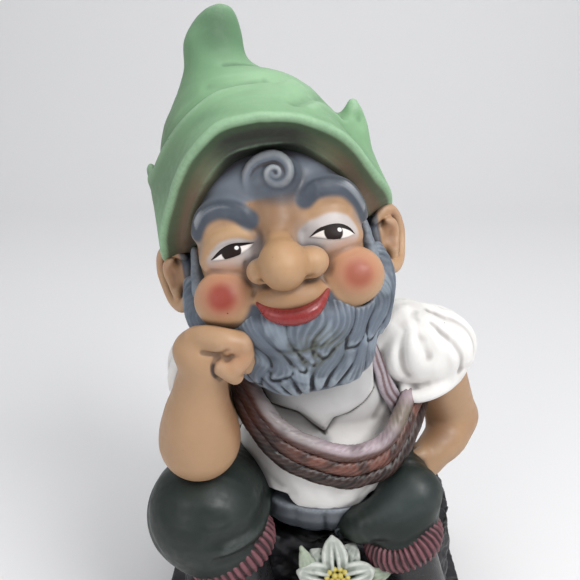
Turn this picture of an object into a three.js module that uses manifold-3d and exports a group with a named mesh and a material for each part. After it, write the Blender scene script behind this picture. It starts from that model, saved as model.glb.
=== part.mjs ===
// Seated garden gnome on a rock: a hollow figure put together from separately moulded, painted pieces.
// Millimetres, +Z up, the gnome faces -Y and its own left is +X. The finished group stands on z = 0.
import * as THREE from "three";
import { mergeVertices } from "three/addons/utils/BufferGeometryUtils.js";
import Module from "manifold-3d";

// ---- driving dimensions -------------------------------------------------------------------------
const GAP = 0.55; // how far a neighbour's skin is pushed out before it cuts a piece, which leaves about 0.4
const WELD = 0.02; // corners nearer than this are one corner
const WALL = 4.5; // wall of the hollow mouldings
const SPINE_R = 13; // radius of the passage that joins the hollows, from the rock to the skull

const HEAD_AT = [-25, -32, 302]; // middle of the skull
const HEAD_ROLL = -9.4; // degrees; the crown leans to the gnome's right
const HEAD_PITCH = -23; // degrees; the face looks up
const HEAD_YAW = 5; // degrees; the face turns a little to the gnome's left
const SKULL_R = [51, 52, 60];
const FOREHEAD = { at: [0, -6, 36], r: [49, 42, 30] };
const CHEEK_R = 17.5;
const NECK_FOOT = [0, 2, 244]; // where the neck ends inside the shoulders

const SLAB = { x: 116, front: -138, back: 90, top: 15 }; // the ground slab under the boots
const ROCK_TOP = 94; // height of the seat
const PLATE_T = 3; // closing plate under the slab
const STOPPER_R = 15;

const ROPE_R = 4.7;
const ROPE_TURNS = 3;

// ---- shapes: each returns one closed BufferGeometry ---------------------------------------------
const v3 = (p) => new THREE.Vector3(...p);
const mirror = ([x, y, z], side) => [x * side, y, z];

function ball(at, radii, turn = [0, 0, 0], segments = 10) {
  const g = new THREE.SphereGeometry(1, segments, Math.round(segments * 0.6));
  g.rotateX(Math.PI / 2);
  g.scale(...radii);
  const euler = new THREE.Euler(...turn.map(THREE.MathUtils.degToRad));
  g.applyMatrix4(new THREE.Matrix4().makeRotationFromEuler(euler));
  return g.translate(...at);
}

// A closed skin through rings of points, each ring in the same order, with a point or a flat lid at each end.
function skin(rings, loop = false) {
  const n = rings[0].length;
  const positions = rings.flat(2);
  const index = [];
  const last = loop ? rings.length : rings.length - 1;
  for (let i = 0; i < last; i++) {
    const a = i * n;
    const b = ((i + 1) % rings.length) * n;
    for (let j = 0; j < n; j++) {
      const k = (j + 1) % n;
      index.push(a + j, a + k, b + k, a + j, b + k, b + j);
    }
  }
  if (!loop) {
    const lids = [0, rings.length - 1];
    lids.forEach((r, end) => {
      const middle = positions.length / 3;
      for (let c = 0; c < 3; c++) {
        positions.push(rings[r].reduce((sum, p) => sum + p[c], 0) / n);
      }
      for (let j = 0; j < n; j++) {
        const k = (j + 1) % n;
        index.push(middle, r * n + (end ? j : k), r * n + (end ? k : j));
      }
    });
  }
  const g = new THREE.BufferGeometry();
  g.setAttribute("position", new THREE.Float32BufferAttribute(positions, 3));
  g.setIndex(index);
  return g;
}

// A round limb along a smooth curve through the points, with a radius at each and rounded ends.
// flat squeezes the section along `squeeze`, for straps and soles.
function limb(points, radii, { sides = 8, steps = 5, squeeze = null, flat = 1 } = {}) {
  const curve = new THREE.CatmullRomCurve3(points.map(v3), false, "centripetal");
  const radiusAt = (t) => {
    const s = t * (radii.length - 1);
    const i = Math.min(Math.floor(s), radii.length - 2);
    return radii[i] + (radii[i + 1] - radii[i]) * (s - i);
  };
  const stations = [];
  const CAP_TURNS = [55].map(THREE.MathUtils.degToRad);
  CAP_TURNS.forEach((a) => stations.push([0, -Math.sin(a), Math.cos(a)]));
  for (let i = 0; i <= steps; i++) stations.push([i / steps, 0, 1]);
  [...CAP_TURNS].reverse().forEach((a) => stations.push([1, Math.sin(a), Math.cos(a)]));
  let side = null;
  const rings = stations.map(([t, beyond, share]) => {
    const along = curve.getTangent(t);
    const middle = curve.getPoint(t).addScaledVector(along, beyond * radiusAt(t) * flat);
    if (!side) {
      side = squeeze ? v3(squeeze) : v3(Math.abs(along.z) < 0.8 ? [0, 0, 1] : [1, 0, 0]);
    }
    const u = side.clone().addScaledVector(along, -side.dot(along)).normalize();
    if (!squeeze) side = u.clone();
    const w = along.clone().cross(u);
    const r = radiusAt(t) * share;
    return Array.from({ length: sides }, (_, j) => {
      const a = (j / sides) * 2 * Math.PI;
      const p = middle.clone();
      p.addScaledVector(u, r * flat * Math.cos(a)).addScaledVector(w, r * Math.sin(a));
      return p.toArray();
    });
  });
  return skin(rings);
}

// A closed round cord through the points.
function hoop(points, radius, steps = 22, sides = 6) {
  const curve = new THREE.CatmullRomCurve3(points.map(v3), true, "centripetal");
  return new THREE.TubeGeometry(curve, steps, radius, sides, true);
}

// A turned piece about an axis line, from [radius, height] pairs that start and end on the axis.
function turned(profile, at, axis = [0, 0, 1], segments = 14) {
  const points = profile.map(([r, h]) => new THREE.Vector2(r, h));
  const g = new THREE.LatheGeometry(points, segments);
  const turn = new THREE.Quaternion().setFromUnitVectors(v3([0, 1, 0]), v3(axis).normalize());
  return g.applyQuaternion(turn).translate(...at);
}

// ---- joining and cutting ------------------------------------------------------------------------
const wasm = await Module();
wasm.setup();

function merged(geometry) {
  const bare = new THREE.BufferGeometry();
  bare.setAttribute("position", geometry.getAttribute("position"));
  bare.setIndex(geometry.index);
  return mergeVertices(bare, 1e-3);
}

// The geometry as a manifold-3d solid, with its skin moved out by `by` along the vertex normals.
function solid(geometry, by = 0) {
  const g = merged(geometry);
  g.computeVertexNormals();
  const positions = new Float32Array(g.attributes.position.array);
  positions.forEach((_, i) => (positions[i] += by * g.attributes.normal.array[i]));
  const mesh = new wasm.Mesh({
    numProp: 3,
    vertProperties: positions,
    triVerts: new Uint32Array(g.index.array),
  });
  return new wasm.Manifold(mesh);
}

function union(solids) {
  return solids.reduce((a, b) => a.add(b));
}

function biggest(made) {
  const bodies = made.decompose();
  return bodies.reduce((a, b) => (b.volume() > a.volume() ? b : a));
}

// The solid with corners closer than WELD drawn together, so that no face is a sliver.
function welded(made) {
  const g = mergeVertices(toGeometry(made), WELD);
  const kept = [];
  for (let i = 0; i < g.index.count; i += 3) {
    const [a, b, c] = [0, 1, 2].map((k) => g.index.getX(i + k));
    if (a !== b && b !== c && c !== a) kept.push(a, b, c);
  }
  g.setIndex(kept);
  return solid(g);
}

function toGeometry(made) {
  const { vertProperties, triVerts } = made.getMesh();
  const g = new THREE.BufferGeometry();
  g.setAttribute("position", new THREE.BufferAttribute(vertProperties, 3));
  g.setIndex(new THREE.BufferAttribute(triVerts, 1));
  g.computeVertexNormals();
  return g;
}

// ---- materials ----------------------------------------------------------------------------------
const paint = (color, roughness = 0.5) =>
  new THREE.MeshStandardMaterial({ color, roughness, metalness: 0 });
const MATERIALS = {
  hat_green: paint(0x8fbf97),
  skin: paint(0xd2a57c),
  hair_grey: paint(0x737d8c),
  shirt_white: paint(0xd9d8d4),
  rope_brown: paint(0x6b4038),
  strap_brown: paint(0x8d7276),
  trouser_green: paint(0x3c4a46),
  band_grey: paint(0x727c86),
  sock_red: paint(0x7e3a42),
  boot_black: paint(0x1d1a1b, 0.35),
  sole_black: paint(0x111112, 0.6),
  lace_brown: paint(0x4a3428, 0.6),
  rock_black: paint(0x1c1b1d, 0.45),
  flower_white: paint(0xd8dad2),
  flower_yellow: paint(0xb3b65a),
  leaf_green: paint(0x6f7b6a),
  lip_red: paint(0xb3332f, 0.4),
  eye_print: paint(0xece6e4, 0.3),
  plate_grey: paint(0x5b5d60, 0.6),
  stopper_rubber: paint(0x2a2a2c, 0.8),
};

// ---- groups: the figure, and the head turned within it ------------------------------------------
const figure = new THREE.Group();
const head = new THREE.Group();
head.position.set(...HEAD_AT);
head.rotation.order = "ZYX";
head.rotation.set(...[HEAD_PITCH, HEAD_ROLL, HEAD_YAW].map(THREE.MathUtils.degToRad));
figure.add(head);
figure.updateMatrixWorld(true);

// Each piece: its node name, material, group, shapes joined into one skin, and what hollows it.
const pieces = [];
function piece(name, material, group, shapes, hollows = []) {
  pieces.push({ name, material, group, shapes, hollows });
}

const SIDES = [
  ["right", -1],
  ["left", 1],
];

// ---- eyes, mouth, brows and curl, in the head's frame -------------------------------------------
function faceTrim() {
  for (const [word, side] of SIDES) {
    const eye = ball([28 * side, -41.5, 3.6], [15.5, 4.2, 7.4], [0, 0, 22 * side]);
    piece(`${word}_eye_transfer`, "eye_print", head, [eye]);
    const brow = [[14, -44, 20], [24, -43, 27], [36, -38, 28.5], [46, -29, 18]];
    const browLine = brow.map((p) => mirror(p, side));
    const options = { sides: 6, steps: 4 };
    piece(`${word}_eyebrow`, "hair_grey", head, [limb(browLine, [3, 5, 5, 2.5], options)]);
  }
  const lip = [[-19, -48, -26], [-11, -54, -34], [1, -56, -37.5], [13, -54, -34], [20, -48, -25.5]];
  piece("lower_lip", "lip_red", head, [limb(lip, [2, 4.4, 5, 4.4, 2], { sides: 6, steps: 6 })]);
  piece("forelock_curl", "hair_grey", head, [ball([3, -46, 40], [12, 7, 12])]);
}

// ---- the head moulding: skull, cheeks, nose and neck in one skin ---------------------------------
function headMoulding() {
  const skull = ball([0, 4, 0], SKULL_R, [0, 0, 0], 14);
  const cheeks = SIDES.map(([, s]) => ball([35.5 * s, -35, -19.5], [17.5, 16.5, CHEEK_R]));
  const forehead = ball(FOREHEAD.at, FOREHEAD.r, [0, 0, 0], 12);
  const nose = ball([-2.5, -60, -6], [15.5, 16, 14.5]);
  const muzzle = ball([0, -42, -27], [21, 16, 15]);
  const neck = limb([[0, 4, -16], head.worldToLocal(v3(NECK_FOOT)).toArray()], [34, 31]);
  const hollow = ball([0, 4, 0], SKULL_R.map((r) => r - WALL));
  const shapes = [skull, forehead, ...cheeks, nose, muzzle, neck];
  piece("head_moulding", "skin", head, shapes, [hollow, neckPassage()]);
  for (const [word, side] of SIDES) {
    const ear = ball([64 * side, 6, -5], [6, 11, 20.5], [8, 0, 24 * side]);
    piece(`${word}_ear`, "skin", head, [ear]);
  }
}

function neckPassage() {
  const foot = head.worldToLocal(v3(NECK_FOOT)).toArray();
  return limb([[0, 4, -30], foot], [SPINE_R, SPINE_R * 1.5], { sides: 6, steps: 1 });
}

// ---- hat: a leaning crown with a thumb-like top, and a brim that rises at the front and folds up behind
const CROWN = [
  // [height, middle x, half width, middle y, half depth]
  [0, 0, 54, 4, 57],
  [42, -1, 58, 4, 58],
  [66, -5, 56, 4, 54],
  [84, -7, 49, 4, 46],
  [94, -8, 42, 4, 39],
  [102, -10.5, 34.5, 3, 32],
  [109, -16, 25, 2, 24],
  [118, -17, 19.5, 1, 19],
  [132, -16.5, 18, 0, 17.5],
  [142, -14, 14, 0, 14],
  [150, -11, 7, 0, 7],
];
// The brim's section at each angle from the front, in degrees: band, fold and edge, as [radius, height].
const BRIM = [
  [0, [46, 55], [66, 61], [79, 68]],
  [22, [46, 53], [66, 56], [78, 60]],
  [42, [48, 38], [66, 40], [77, 42]],
  [62, [50, 18], [68, 16], [77, 16]],
  [80, [51, 13], [68, 11], [68, 44]],
  [98, [51, 13], [69, 11], [66, 74]],
  [125, [51, 12], [71, 10], [75, 50]],
  [180, [51, 10], [72, 8], [80, 44]],
];
const TIPS = { angle: 98, right: [71, 65], left: [63, 82] }; // the brim's two points, and where they are
const TROUGH_FILL = 0.75; // how far up the trough between crown and turned-up brim is filled

// The row of a table at a value of its first column, with the numbers between rows in proportion.
function between(table, value) {
  const i = Math.max(1, table.findIndex(([end]) => end >= value));
  const [low, high] = [table[i - 1], table[i]];
  const t = (value - low[0]) / (high[0] - low[0]);
  const blend = (a, b) => (Array.isArray(a) ? a.map((x, k) => blend(x, b[k])) : a + (b - a) * t);
  return low.map((x, k) => blend(x, high[k]));
}

function brimAt(degrees) {
  const tip = degrees > 0 ? TIPS.left : TIPS.right;
  const rows = BRIM.map((row) => (row[0] === TIPS.angle ? [...row.slice(0, 3), tip] : row));
  return between(rows, Math.abs(degrees)).slice(1);
}

function crownShape(wall = 0) {
  const SEGMENTS = 14;
  const SHARES = [0, 0.22, 0.42, 0.58, 0.7, 0.8, 0.9, 1];
  const top = wall ? 108 : CROWN[CROWN.length - 1][0];
  const rings = SHARES.map((share) =>
    Array.from({ length: SEGMENTS }, (_, j) => {
      const a = ((j + 0.5) / SEGMENTS) * 2 * Math.PI;
      const degrees = THREE.MathUtils.radToDeg(Math.atan2(Math.cos(a), -Math.sin(a)));
      const rim = brimAt(degrees)[0][1] + 2 - wall;
      const z = rim + (top - rim) * share;
      const [, cx, rx, cy, ry] = between(CROWN, z + wall / 2);
      return [cx + (rx - wall) * Math.cos(a), cy + (ry - wall) * Math.sin(a), z];
    }),
  );
  return skin(rings);
}

function brimShape() {
  const STEPS = 26;
  const THICK = 4.5;
  const rings = Array.from({ length: STEPS }, (_, i) => {
    const degrees = 180 - (i / STEPS) * 360;
    const a = THREE.MathUtils.degToRad(degrees);
    const [band, fold, edge] = brimAt(degrees);
    const steep = Math.min(1, Math.max(0, (edge[1] - fold[1]) / 40));
    const top = [edge[0] - THICK * steep, edge[1] + THICK * (1 - steep)];
    const floor = THICK + TROUGH_FILL * steep * (edge[1] - fold[1]);
    const inner = [fold[0] - THICK * steep, fold[1] + floor];
    const section = [band, fold, edge, top, inner, [band[0], band[1] + floor]];
    return section.map(([r, z]) => [r * Math.sin(a), 4 - r * Math.cos(a), z]);
  });
  return skin(rings, true);
}

function hat() {
  piece("hat", "hat_green", head, [crownShape(), brimShape()], [crownShape(WALL)]);
}

// ---- hair and beard -----------------------------------------------------------------------------
function hair() {
  piece("back_hair", "hair_grey", head, [ball([0, 10, -14], [61, 47, 50], [0, 0, 0], 12)]);
  const chin = ball([-6, -66, 262], [42, 25, 36]);
  const jaw = ball([-18, -48, 276], [48, 32, 30]);
  piece("beard", "hair_grey", figure, [chin, jaw]);
}

// ---- arms: the right one props up the cheek, the left one rests on the hip -----------------------
const ELBOW_R = [-74, -76, 197];
const WRIST_R = [-70, -86, 247];
const ELBOW_L = [99, 6, 158];
const WRIST_L = [82, -18, 146];
function arms() {
  const palm = ball([-62, -87, 264], [18, 15, 14.5], [0, 12, 0]);
  const knuckles = limb([[-68, -90, 273], [-46, -92, 272]], [9, 8], { sides: 8, steps: 2 });
  const fingers = limb([[-47, -93, 268], [-50, -94, 256]], [8.5, 7], { sides: 8, steps: 2 });
  piece("right_hand", "skin", figure, [palm, knuckles, fingers]);
  const forearm = [ELBOW_R, [-73, -80, 216], [-71, -84, 234], WRIST_R];
  piece("right_forearm", "skin", figure, [limb(forearm, [24, 22.5, 16.5, 13])]);
  piece("right_upper_arm", "skin", figure, [limb([ELBOW_R, [-76, -12, 205]], [22, 21])]);
  const hand = limb([WRIST_L, [70, -24, 138], [58, -22, 134]], [11, 11, 8], { sides: 8, steps: 4 });
  piece("left_hand", "skin", figure, [hand]);
  piece("left_forearm", "skin", figure, [limb([ELBOW_L, WRIST_L], [16.5, 12.5])]);
  piece("left_upper_arm", "skin", figure, [limb([[76, -4, 214], ELBOW_L], [22, 17])]);
}

// ---- rope slung from the right shoulder round to the left hip ------------------------------------
const ROPE_LINE = [
  // [x, y, z] of the first turn, then how far one turn lies from the next there
  [[-53, -46, 243], [-1, 1, -7]],
  [[-46, -56, 227], [-1, -1, -9.9]],
  [[-25, -68, 200], [0, -1, -10.2]],
  [[8, -71, 185], [0, 0, -10.4]],
  [[28, -68, 184], [0, 0, -10.4]],
  [[43, -58, 188], [2, 0, -10.2]],
  [[57, -36, 204], [3, 0, -9.6]],
  [[67, -4, 206], [1, 1, -10]],
  [[46, 42, 210], [0, 2, -10]],
  [[0, 50, 222], [0, 2, -10]],
  [[-40, 36, 234], [-6, 2, -8]],
  [[-62, -8, 248], [-9, 0, -5]],
];
function rope() {
  for (let turn = 0; turn < ROPE_TURNS; turn++) {
    const line = ROPE_LINE.map(([at, step]) => at.map((value, i) => value + step[i] * turn));
    piece(`rope_turn_${turn + 1}`, "rope_brown", figure, [hoop(line, ROPE_R)]);
  }
}

// ---- shirt, collar, sleeves and braces ----------------------------------------------------------
const BELLY = { at: [3, -12, 146], r: [61, 56, 48] };
const CHEST = { at: [2, -6, 200], r: [60, 44, 50] };
const BRACE = [[36, -30, 244], [38, -49, 224], [46, -57, 204], [52, -52, 182]];
const SLEEVES = {
  left: { at: [70, -8, 222], r: [34, 36, 34] },
  right: { at: [-74, 2, 197], r: [32, 34, 32] },
};
function shirt() {
  for (const [word, side] of SIDES) {
    const line = BRACE.map((p) => mirror(p, side));
    const options = { squeeze: [0, 1, 0.2], flat: 0.45, sides: 6, steps: 5 };
    piece(`${word}_brace`, "strap_brown", figure, [limb(line, [6, 6, 6, 6], options)]);
    const flapLine = [[18 * side, -46, 214], [22 * side, -53, 200], [4 * side, -58, 186]];
    const flapOptions = { squeeze: [0, 1, 0.3], flat: 0.35, sides: 8, steps: 4 };
    piece(`${word}_collar`, "shirt_white", figure, [limb(flapLine, [11, 12, 4], flapOptions)]);
    const { at, r } = SLEEVES[word];
    const sleeve = ball(at, r, [0, 24 * side, 0], 12);
    piece(`${word}_sleeve`, "shirt_white", figure, [sleeve]);
  }
  const body = [ball(BELLY.at, BELLY.r, [0, 0, 0], 14), ball(CHEST.at, CHEST.r, [0, 0, 0], 14)];
  const inner = [BELLY, CHEST].map(({ at, r }) => ball(at, r.map((size) => size - WALL)));
  piece("shirt_body", "shirt_white", figure, body, [...inner, spine()]);
}

function spine() {
  const line = [[2, 10, 4], [2, 12, 110], [0, 6, 230], NECK_FOOT];
  return limb(line, [SPINE_R, SPINE_R, SPINE_R, SPINE_R], { sides: 6 });
}

// ---- trousers: a waistband, a seat and two baggy legs to the knee ---------------------------------
const WAIST_AT = [3, -11, 0];
const WAIST_RINGS = [
  // [height, half width, half depth]
  [103, 38, 38],
  [108, 50, 49],
  [116, 56, 55],
  [126, 60, 58],
  [134, 60, 57.5],
];
function waistband() {
  const SEGMENTS = 22;
  const rings = WAIST_RINGS.map(([z, rx, ry]) =>
    Array.from({ length: SEGMENTS }, (_, j) => {
      const a = (j / SEGMENTS) * 2 * Math.PI;
      return [WAIST_AT[0] + rx * Math.cos(a), WAIST_AT[1] + ry * Math.sin(a), z];
    }),
  );
  piece("fly_button", "boot_black", figure, [ball([15, -63, 117], [5, 4, 4.5], [0, 0, 0], 8)]);
  piece("waistband", "band_grey", figure, [skin(rings)], [spine()]);
}

const KNEES = { right: [-73, -75, 142], left: [54, -67, 138] };
const ANKLES = { right: [-40, -76, 48], left: [74, -74, 48] };
const KNEE_R = { right: 37, left: 28.5 };
function trousers() {
  for (const [word, side] of SIDES) {
    const hip = [35 * side, 12, 128];
    const thigh = limb([hip, KNEES[word]], [38, KNEE_R[word]], { sides: 12, steps: 3 });
    const hem = shinPoint(word, CUFF.below - 10).toArray();
    const calf = limb([KNEES[word], hem], [KNEE_R[word], KNEE_R[word] - 3], { sides: 12, steps: 2 });
    piece(`${word}_trouser_leg`, "trouser_green", figure, [thigh, calf]);
  }
  const seat = ball([2, 24, 122], [64, 50, 38], [0, 0, 0], 12);
  const inside = ball([2, 24, 122], [64 - WALL, 50 - WALL, 38 - WALL]);
  piece("trouser_seat", "trouser_green", figure, [seat], [inside, spine()]);
}

// ---- socks and boots ----------------------------------------------------------------------------
const CUFF = { r: { right: 28, left: 26 }, high: 22, below: 28, edge: 5 }; // below: from the knee's middle
const HEEL_Y = -68;
const SOLE_T = 7;
const SOLE_TOP = SLAB.top + SOLE_T + 0.6;
const FOOT_LONG = 50;
const LACE = { reach: 9, r: 3.2, up: 49 - SOLE_TOP };
function shinPoint(word, below) {
  const down = v3(ANKLES[word]).sub(v3(KNEES[word])).normalize();
  return v3(KNEES[word]).addScaledVector(down, below);
}

function cuffShape(word) {
  const top = shinPoint(word, CUFF.below);
  const down = v3(ANKLES[word]).sub(top).toArray();
  const r = CUFF.r[word];
  const profile = [
    [0, 0],
    [r - CUFF.edge, 0],
    [r, CUFF.edge],
    [r, CUFF.high - CUFF.edge],
    [r - CUFF.edge, CUFF.high],
    [0, CUFF.high],
  ];
  return turned(profile, top.toArray(), down);
}

function footwear() {
  for (const [word] of SIDES) {
    piece(`${word}_sock_cuff`, "sock_red", figure, [cuffShape(word)]);
    const x = ANKLES[word][0];
    const heel = [x, HEEL_Y, SOLE_TOP + 12];
    const toe = [x - 4, HEEL_Y - FOOT_LONG, SOLE_TOP + 11];
    const shaftTop = shinPoint(word, CUFF.below + CUFF.high).toArray();
    const shaft = limb([shaftTop, ANKLES[word], heel], [19, 18, 15], { steps: 3 });
    const foot = limb([heel, toe], [16, 15], { steps: 2 });
    const laceEnds = [-LACE.reach, LACE.reach].map((dx) => [x + dx, HEEL_Y - 28, SOLE_TOP + LACE.up]);
    const lace = limb(laceEnds, [LACE.r, LACE.r], { sides: 6, steps: 1 });
    piece(`${word}_boot_laces`, "lace_brown", figure, [lace]);
    piece(`${word}_boot_sole`, "sole_black", figure, [sole(heel[0], toe[0])]);
    piece(`${word}_boot`, "boot_black", figure, [shaft, foot]);
  }
}

function sole(heelX, toeX) {
  const outline = new THREE.Shape();
  const HALF = 16.5;
  outline.absarc(heelX, HEEL_Y, HALF, 0, Math.PI, false);
  outline.absarc(toeX, HEEL_Y - FOOT_LONG, HALF, Math.PI, 2 * Math.PI, false);
  const g = new THREE.ExtrudeGeometry(outline, { depth: SOLE_T, bevelEnabled: false, curveSegments: 6 });
  return g.translate(0, 0, SOLE_TOP - SOLE_T);
}

// ---- edelweiss growing from the rock between the boots --------------------------------------------
const FLOWER_AT = [10, -92, 101];
const FLOWER_FACES = [0.03, -0.78, 0.62]; // the way the flower looks
const PETAL = { count: 6, root: 11.5, wide: 16, wideAt: 13, long: [28, 22], first: 80, thick: 3.5 };
const LEAVES = {
  left: [[17, -86, 86], [31, -88, 98], [46, -87, 106]],
  right: [[5, -86, 86], [-6, -88, 102], [-13, -85, 122]],
};
function flower() {
  const facing = v3(FLOWER_FACES).normalize();
  const turn = new THREE.Quaternion().setFromUnitVectors(v3([0, 0, 1]), facing);
  piece("edelweiss_heart", "flower_yellow", figure, [ball(FLOWER_AT, [8, 8, 8], [0, 0, 0], 8)]);
  const apart = 360 / PETAL.count;
  const outline = Array.from({ length: PETAL.count }, (_, i) => {
    const middle = PETAL.first + apart * i;
    const corners = [
      [PETAL.root, -apart / 2],
      [PETAL.wide, -PETAL.wideAt],
      [i === 0 ? PETAL.long[0] : PETAL.long[1], 0],
      [PETAL.wide, PETAL.wideAt],
    ];
    return corners.map(([radius, off]) => {
      const a = THREE.MathUtils.degToRad(middle + off);
      return new THREE.Vector2(radius * Math.cos(a), radius * Math.sin(a));
    });
  }).flat();
  const shape = new THREE.Shape(outline);
  const petals = new THREE.ExtrudeGeometry(shape, { depth: PETAL.thick, bevelEnabled: false });
  petals.applyQuaternion(turn).translate(...FLOWER_AT);
  piece("edelweiss_petals", "flower_white", figure, [petals]);
  for (const [word] of SIDES) {
    const options = { squeeze: [0, 1, 0], flat: 0.3, sides: 6, steps: 3 };
    piece(`${word}_leaf`, "leaf_green", figure, [limb(LEAVES[word], [4, 8, 2], options)]);
  }
  const stem = limb([FLOWER_AT, [12, -76, 66]], [5, 5], { sides: 6, steps: 1 });
  piece("edelweiss_stem", "leaf_green", figure, [stem]);
}

// ---- rock, closing plate and stopper --------------------------------------------------------------
const ROCK_RINGS = [
  // [height, half width, front y, back y, corner share]
  [0, SLAB.x, SLAB.front, SLAB.back, 0.2],
  [SLAB.top, SLAB.x - 3, SLAB.front + 3, SLAB.back - 2, 0.2],
  [SLAB.top + 2, 107, -47, 88, 0.24],
  [52, 102, -47, 84, 0.26],
  [ROCK_TOP - 8, 96, -46, 80, 0.28],
  [ROCK_TOP, 84, -38, 70, 0.3],
];
const ROCK_DENTS = [0, 3, -4, 2, -3, 4, 0, -4, 3, -2, 4, -3]; // percent, corner by corner
const ROCK_BULGE = 9; // how far the front of the rock stands out in its middle
function rockRing([z, half, front, back, corner], level) {
  const cut = corner * 2 * half;
  const aboveSlab = z > SLAB.top;
  const outline = [
    [-half + cut, front],
    [0, front - (aboveSlab ? ROCK_BULGE : 0)],
    [half - cut, front],
    [half, front + cut],
    [half, (front + back) / 2],
    [half, back - cut],
    [half - cut, back],
    [0, back],
    [-half + cut, back],
    [-half, back - cut],
    [-half, (front + back) / 2],
    [-half, front + cut],
  ];
  return outline.map(([x, y], i) => {
    const dent = aboveSlab ? ROCK_DENTS[(i + level * 5) % ROCK_DENTS.length] / 100 : 0;
    return [x * (1 + dent), y * (1 + dent), z];
  });
}

const PLATE_MARGIN = 9; // how far the closing plate lies inside the slab's edge
function plateRing(z) {
  const { x, front, back } = SLAB;
  return rockRing([z, x - PLATE_MARGIN, front + PLATE_MARGIN, back - PLATE_MARGIN, 0.2], 0);
}

// The same ring of the rock's inside: one wall in, and open at the ground.
function insideRing([z, half, front, back, corner], level) {
  const wall = z <= SLAB.top + 2 ? PLATE_MARGIN - GAP : WALL + 1.5;
  const height = z === 0 ? -1 : Math.max(z - WALL, 4);
  const ring = rockRing([z, half - wall, front + wall, back - wall, corner], level);
  return ring.map(([x, y]) => [x, y, height]);
}

// The stopper: a thin flange under a plug, from [radius, height] pairs.
const FLANGE = { r: STOPPER_R + 3, low: 1, high: 2 };
const STOPPER_PROFILE = [
  [0, FLANGE.low],
  [FLANGE.r, FLANGE.low],
  [FLANGE.r, FLANGE.high],
  [STOPPER_R - 0.5, FLANGE.high + 0.6],
  [STOPPER_R - 1.5, 9],
  [0, 9],
];
const HOLE_PROFILE = [
  [0, -1],
  [FLANGE.r + 0.6, -1],
  [FLANGE.r + 0.6, FLANGE.high + 0.3],
  [STOPPER_R, FLANGE.high + 0.4],
  [STOPPER_R, PLATE_T + 2],
  [0, PLATE_T + 2],
];
const STOPPER_AT = [2, 0, 0];
function base() {
  piece("base_stopper", "stopper_rubber", figure, [turned(STOPPER_PROFILE, STOPPER_AT)]);
  const plate = skin([0, PLATE_T].map(plateRing));
  piece("base_plate", "plate_grey", figure, [plate], [turned(HOLE_PROFILE, STOPPER_AT)]);
  const mound = ball([14, -58, 50], [26, 24, 34]);
  const outer = skin(ROCK_RINGS.map(rockRing));
  const inner = skin(ROCK_RINGS.map(insideRing));
  piece("rock", "rock_black", figure, [outer, mound], [inner, spine()]);
}

// ---- put together: an earlier piece keeps its shape and a later one is cut back from it -----------
faceTrim();
headMoulding();
arms();
hat();
hair();
rope();
waistband();
shirt();
trousers();
footwear();
flower();
base();

const placed = pieces.map((p) => {
  const toWorld = p.group.matrixWorld.elements;
  const inWorld = (geometry, by) => solid(geometry, by).transform(toWorld);
  return {
    ...p,
    whole: union(p.shapes.map((g) => inWorld(g, 0))),
    cutter: union(p.shapes.map((g) => inWorld(g, GAP))),
    hollow: p.hollows.map((g) => inWorld(g, 0)),
  };
});
placed.forEach((p, i) => {
  let made = p.hollow.reduce((rest, cavity) => rest.subtract(cavity), p.whole);
  for (const earlier of placed.slice(0, i)) made = made.subtract(earlier.cutter);
  const back = p.group.matrixWorld.clone().invert().elements;
  const mesh = new THREE.Mesh(toGeometry(welded(biggest(made)).transform(back)), MATERIALS[p.material]);
  mesh.name = p.name;
  p.group.add(mesh);
});

// The frame's origin is under the middle of the figure's box, on the ground.
const box = new THREE.Box3().setFromObject(figure, true);
figure.position.set(-(box.min.x + box.max.x) / 2, -(box.min.y + box.max.y) / 2, -box.min.z);

export default figure;
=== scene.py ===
"""A seated garden gnome. Each moulded piece is pressed together from simple solids in a grid of signed
distances, skinned, and painted point by point. Lengths are millimetres from HOME until a mesh is made."""
import math
import bpy
import numpy as np
import openvdb
from mathutils import Euler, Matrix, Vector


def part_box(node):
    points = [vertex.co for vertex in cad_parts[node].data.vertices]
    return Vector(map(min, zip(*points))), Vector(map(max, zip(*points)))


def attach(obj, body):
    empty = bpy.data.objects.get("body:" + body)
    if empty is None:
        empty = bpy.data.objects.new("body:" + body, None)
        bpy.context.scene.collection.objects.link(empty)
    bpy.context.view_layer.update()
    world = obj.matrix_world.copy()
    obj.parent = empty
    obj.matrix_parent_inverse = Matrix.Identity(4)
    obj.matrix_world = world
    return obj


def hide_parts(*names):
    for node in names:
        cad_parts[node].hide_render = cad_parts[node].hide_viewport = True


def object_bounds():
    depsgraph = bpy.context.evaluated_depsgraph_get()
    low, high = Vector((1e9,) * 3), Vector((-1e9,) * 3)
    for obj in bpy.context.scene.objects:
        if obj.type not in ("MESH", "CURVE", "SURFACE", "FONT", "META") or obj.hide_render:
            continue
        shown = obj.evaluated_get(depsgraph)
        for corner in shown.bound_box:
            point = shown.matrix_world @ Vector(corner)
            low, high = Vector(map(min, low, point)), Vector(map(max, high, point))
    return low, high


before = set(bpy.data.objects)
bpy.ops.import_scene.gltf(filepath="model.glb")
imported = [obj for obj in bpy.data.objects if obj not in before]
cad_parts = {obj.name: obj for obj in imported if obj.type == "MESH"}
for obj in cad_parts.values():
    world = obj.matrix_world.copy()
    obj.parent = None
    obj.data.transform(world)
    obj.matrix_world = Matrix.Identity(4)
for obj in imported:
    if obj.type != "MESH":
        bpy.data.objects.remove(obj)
CAD_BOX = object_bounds()

MM = 0.001
FINE = 0.8  # voxel of the face, hair and hands
PLAIN = 1.1  # voxel of the clothes, hat and rock
FAR = 8.0  # distances are kept up to this far from a surface
TINY = 1e-6  # keeps divisions from a zero


# ---- places taken from the frame -----------------------------------------------------------------
def middle(node):
    low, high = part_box(node)
    return (np.array(low) + np.array(high)) / 2 / MM


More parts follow.
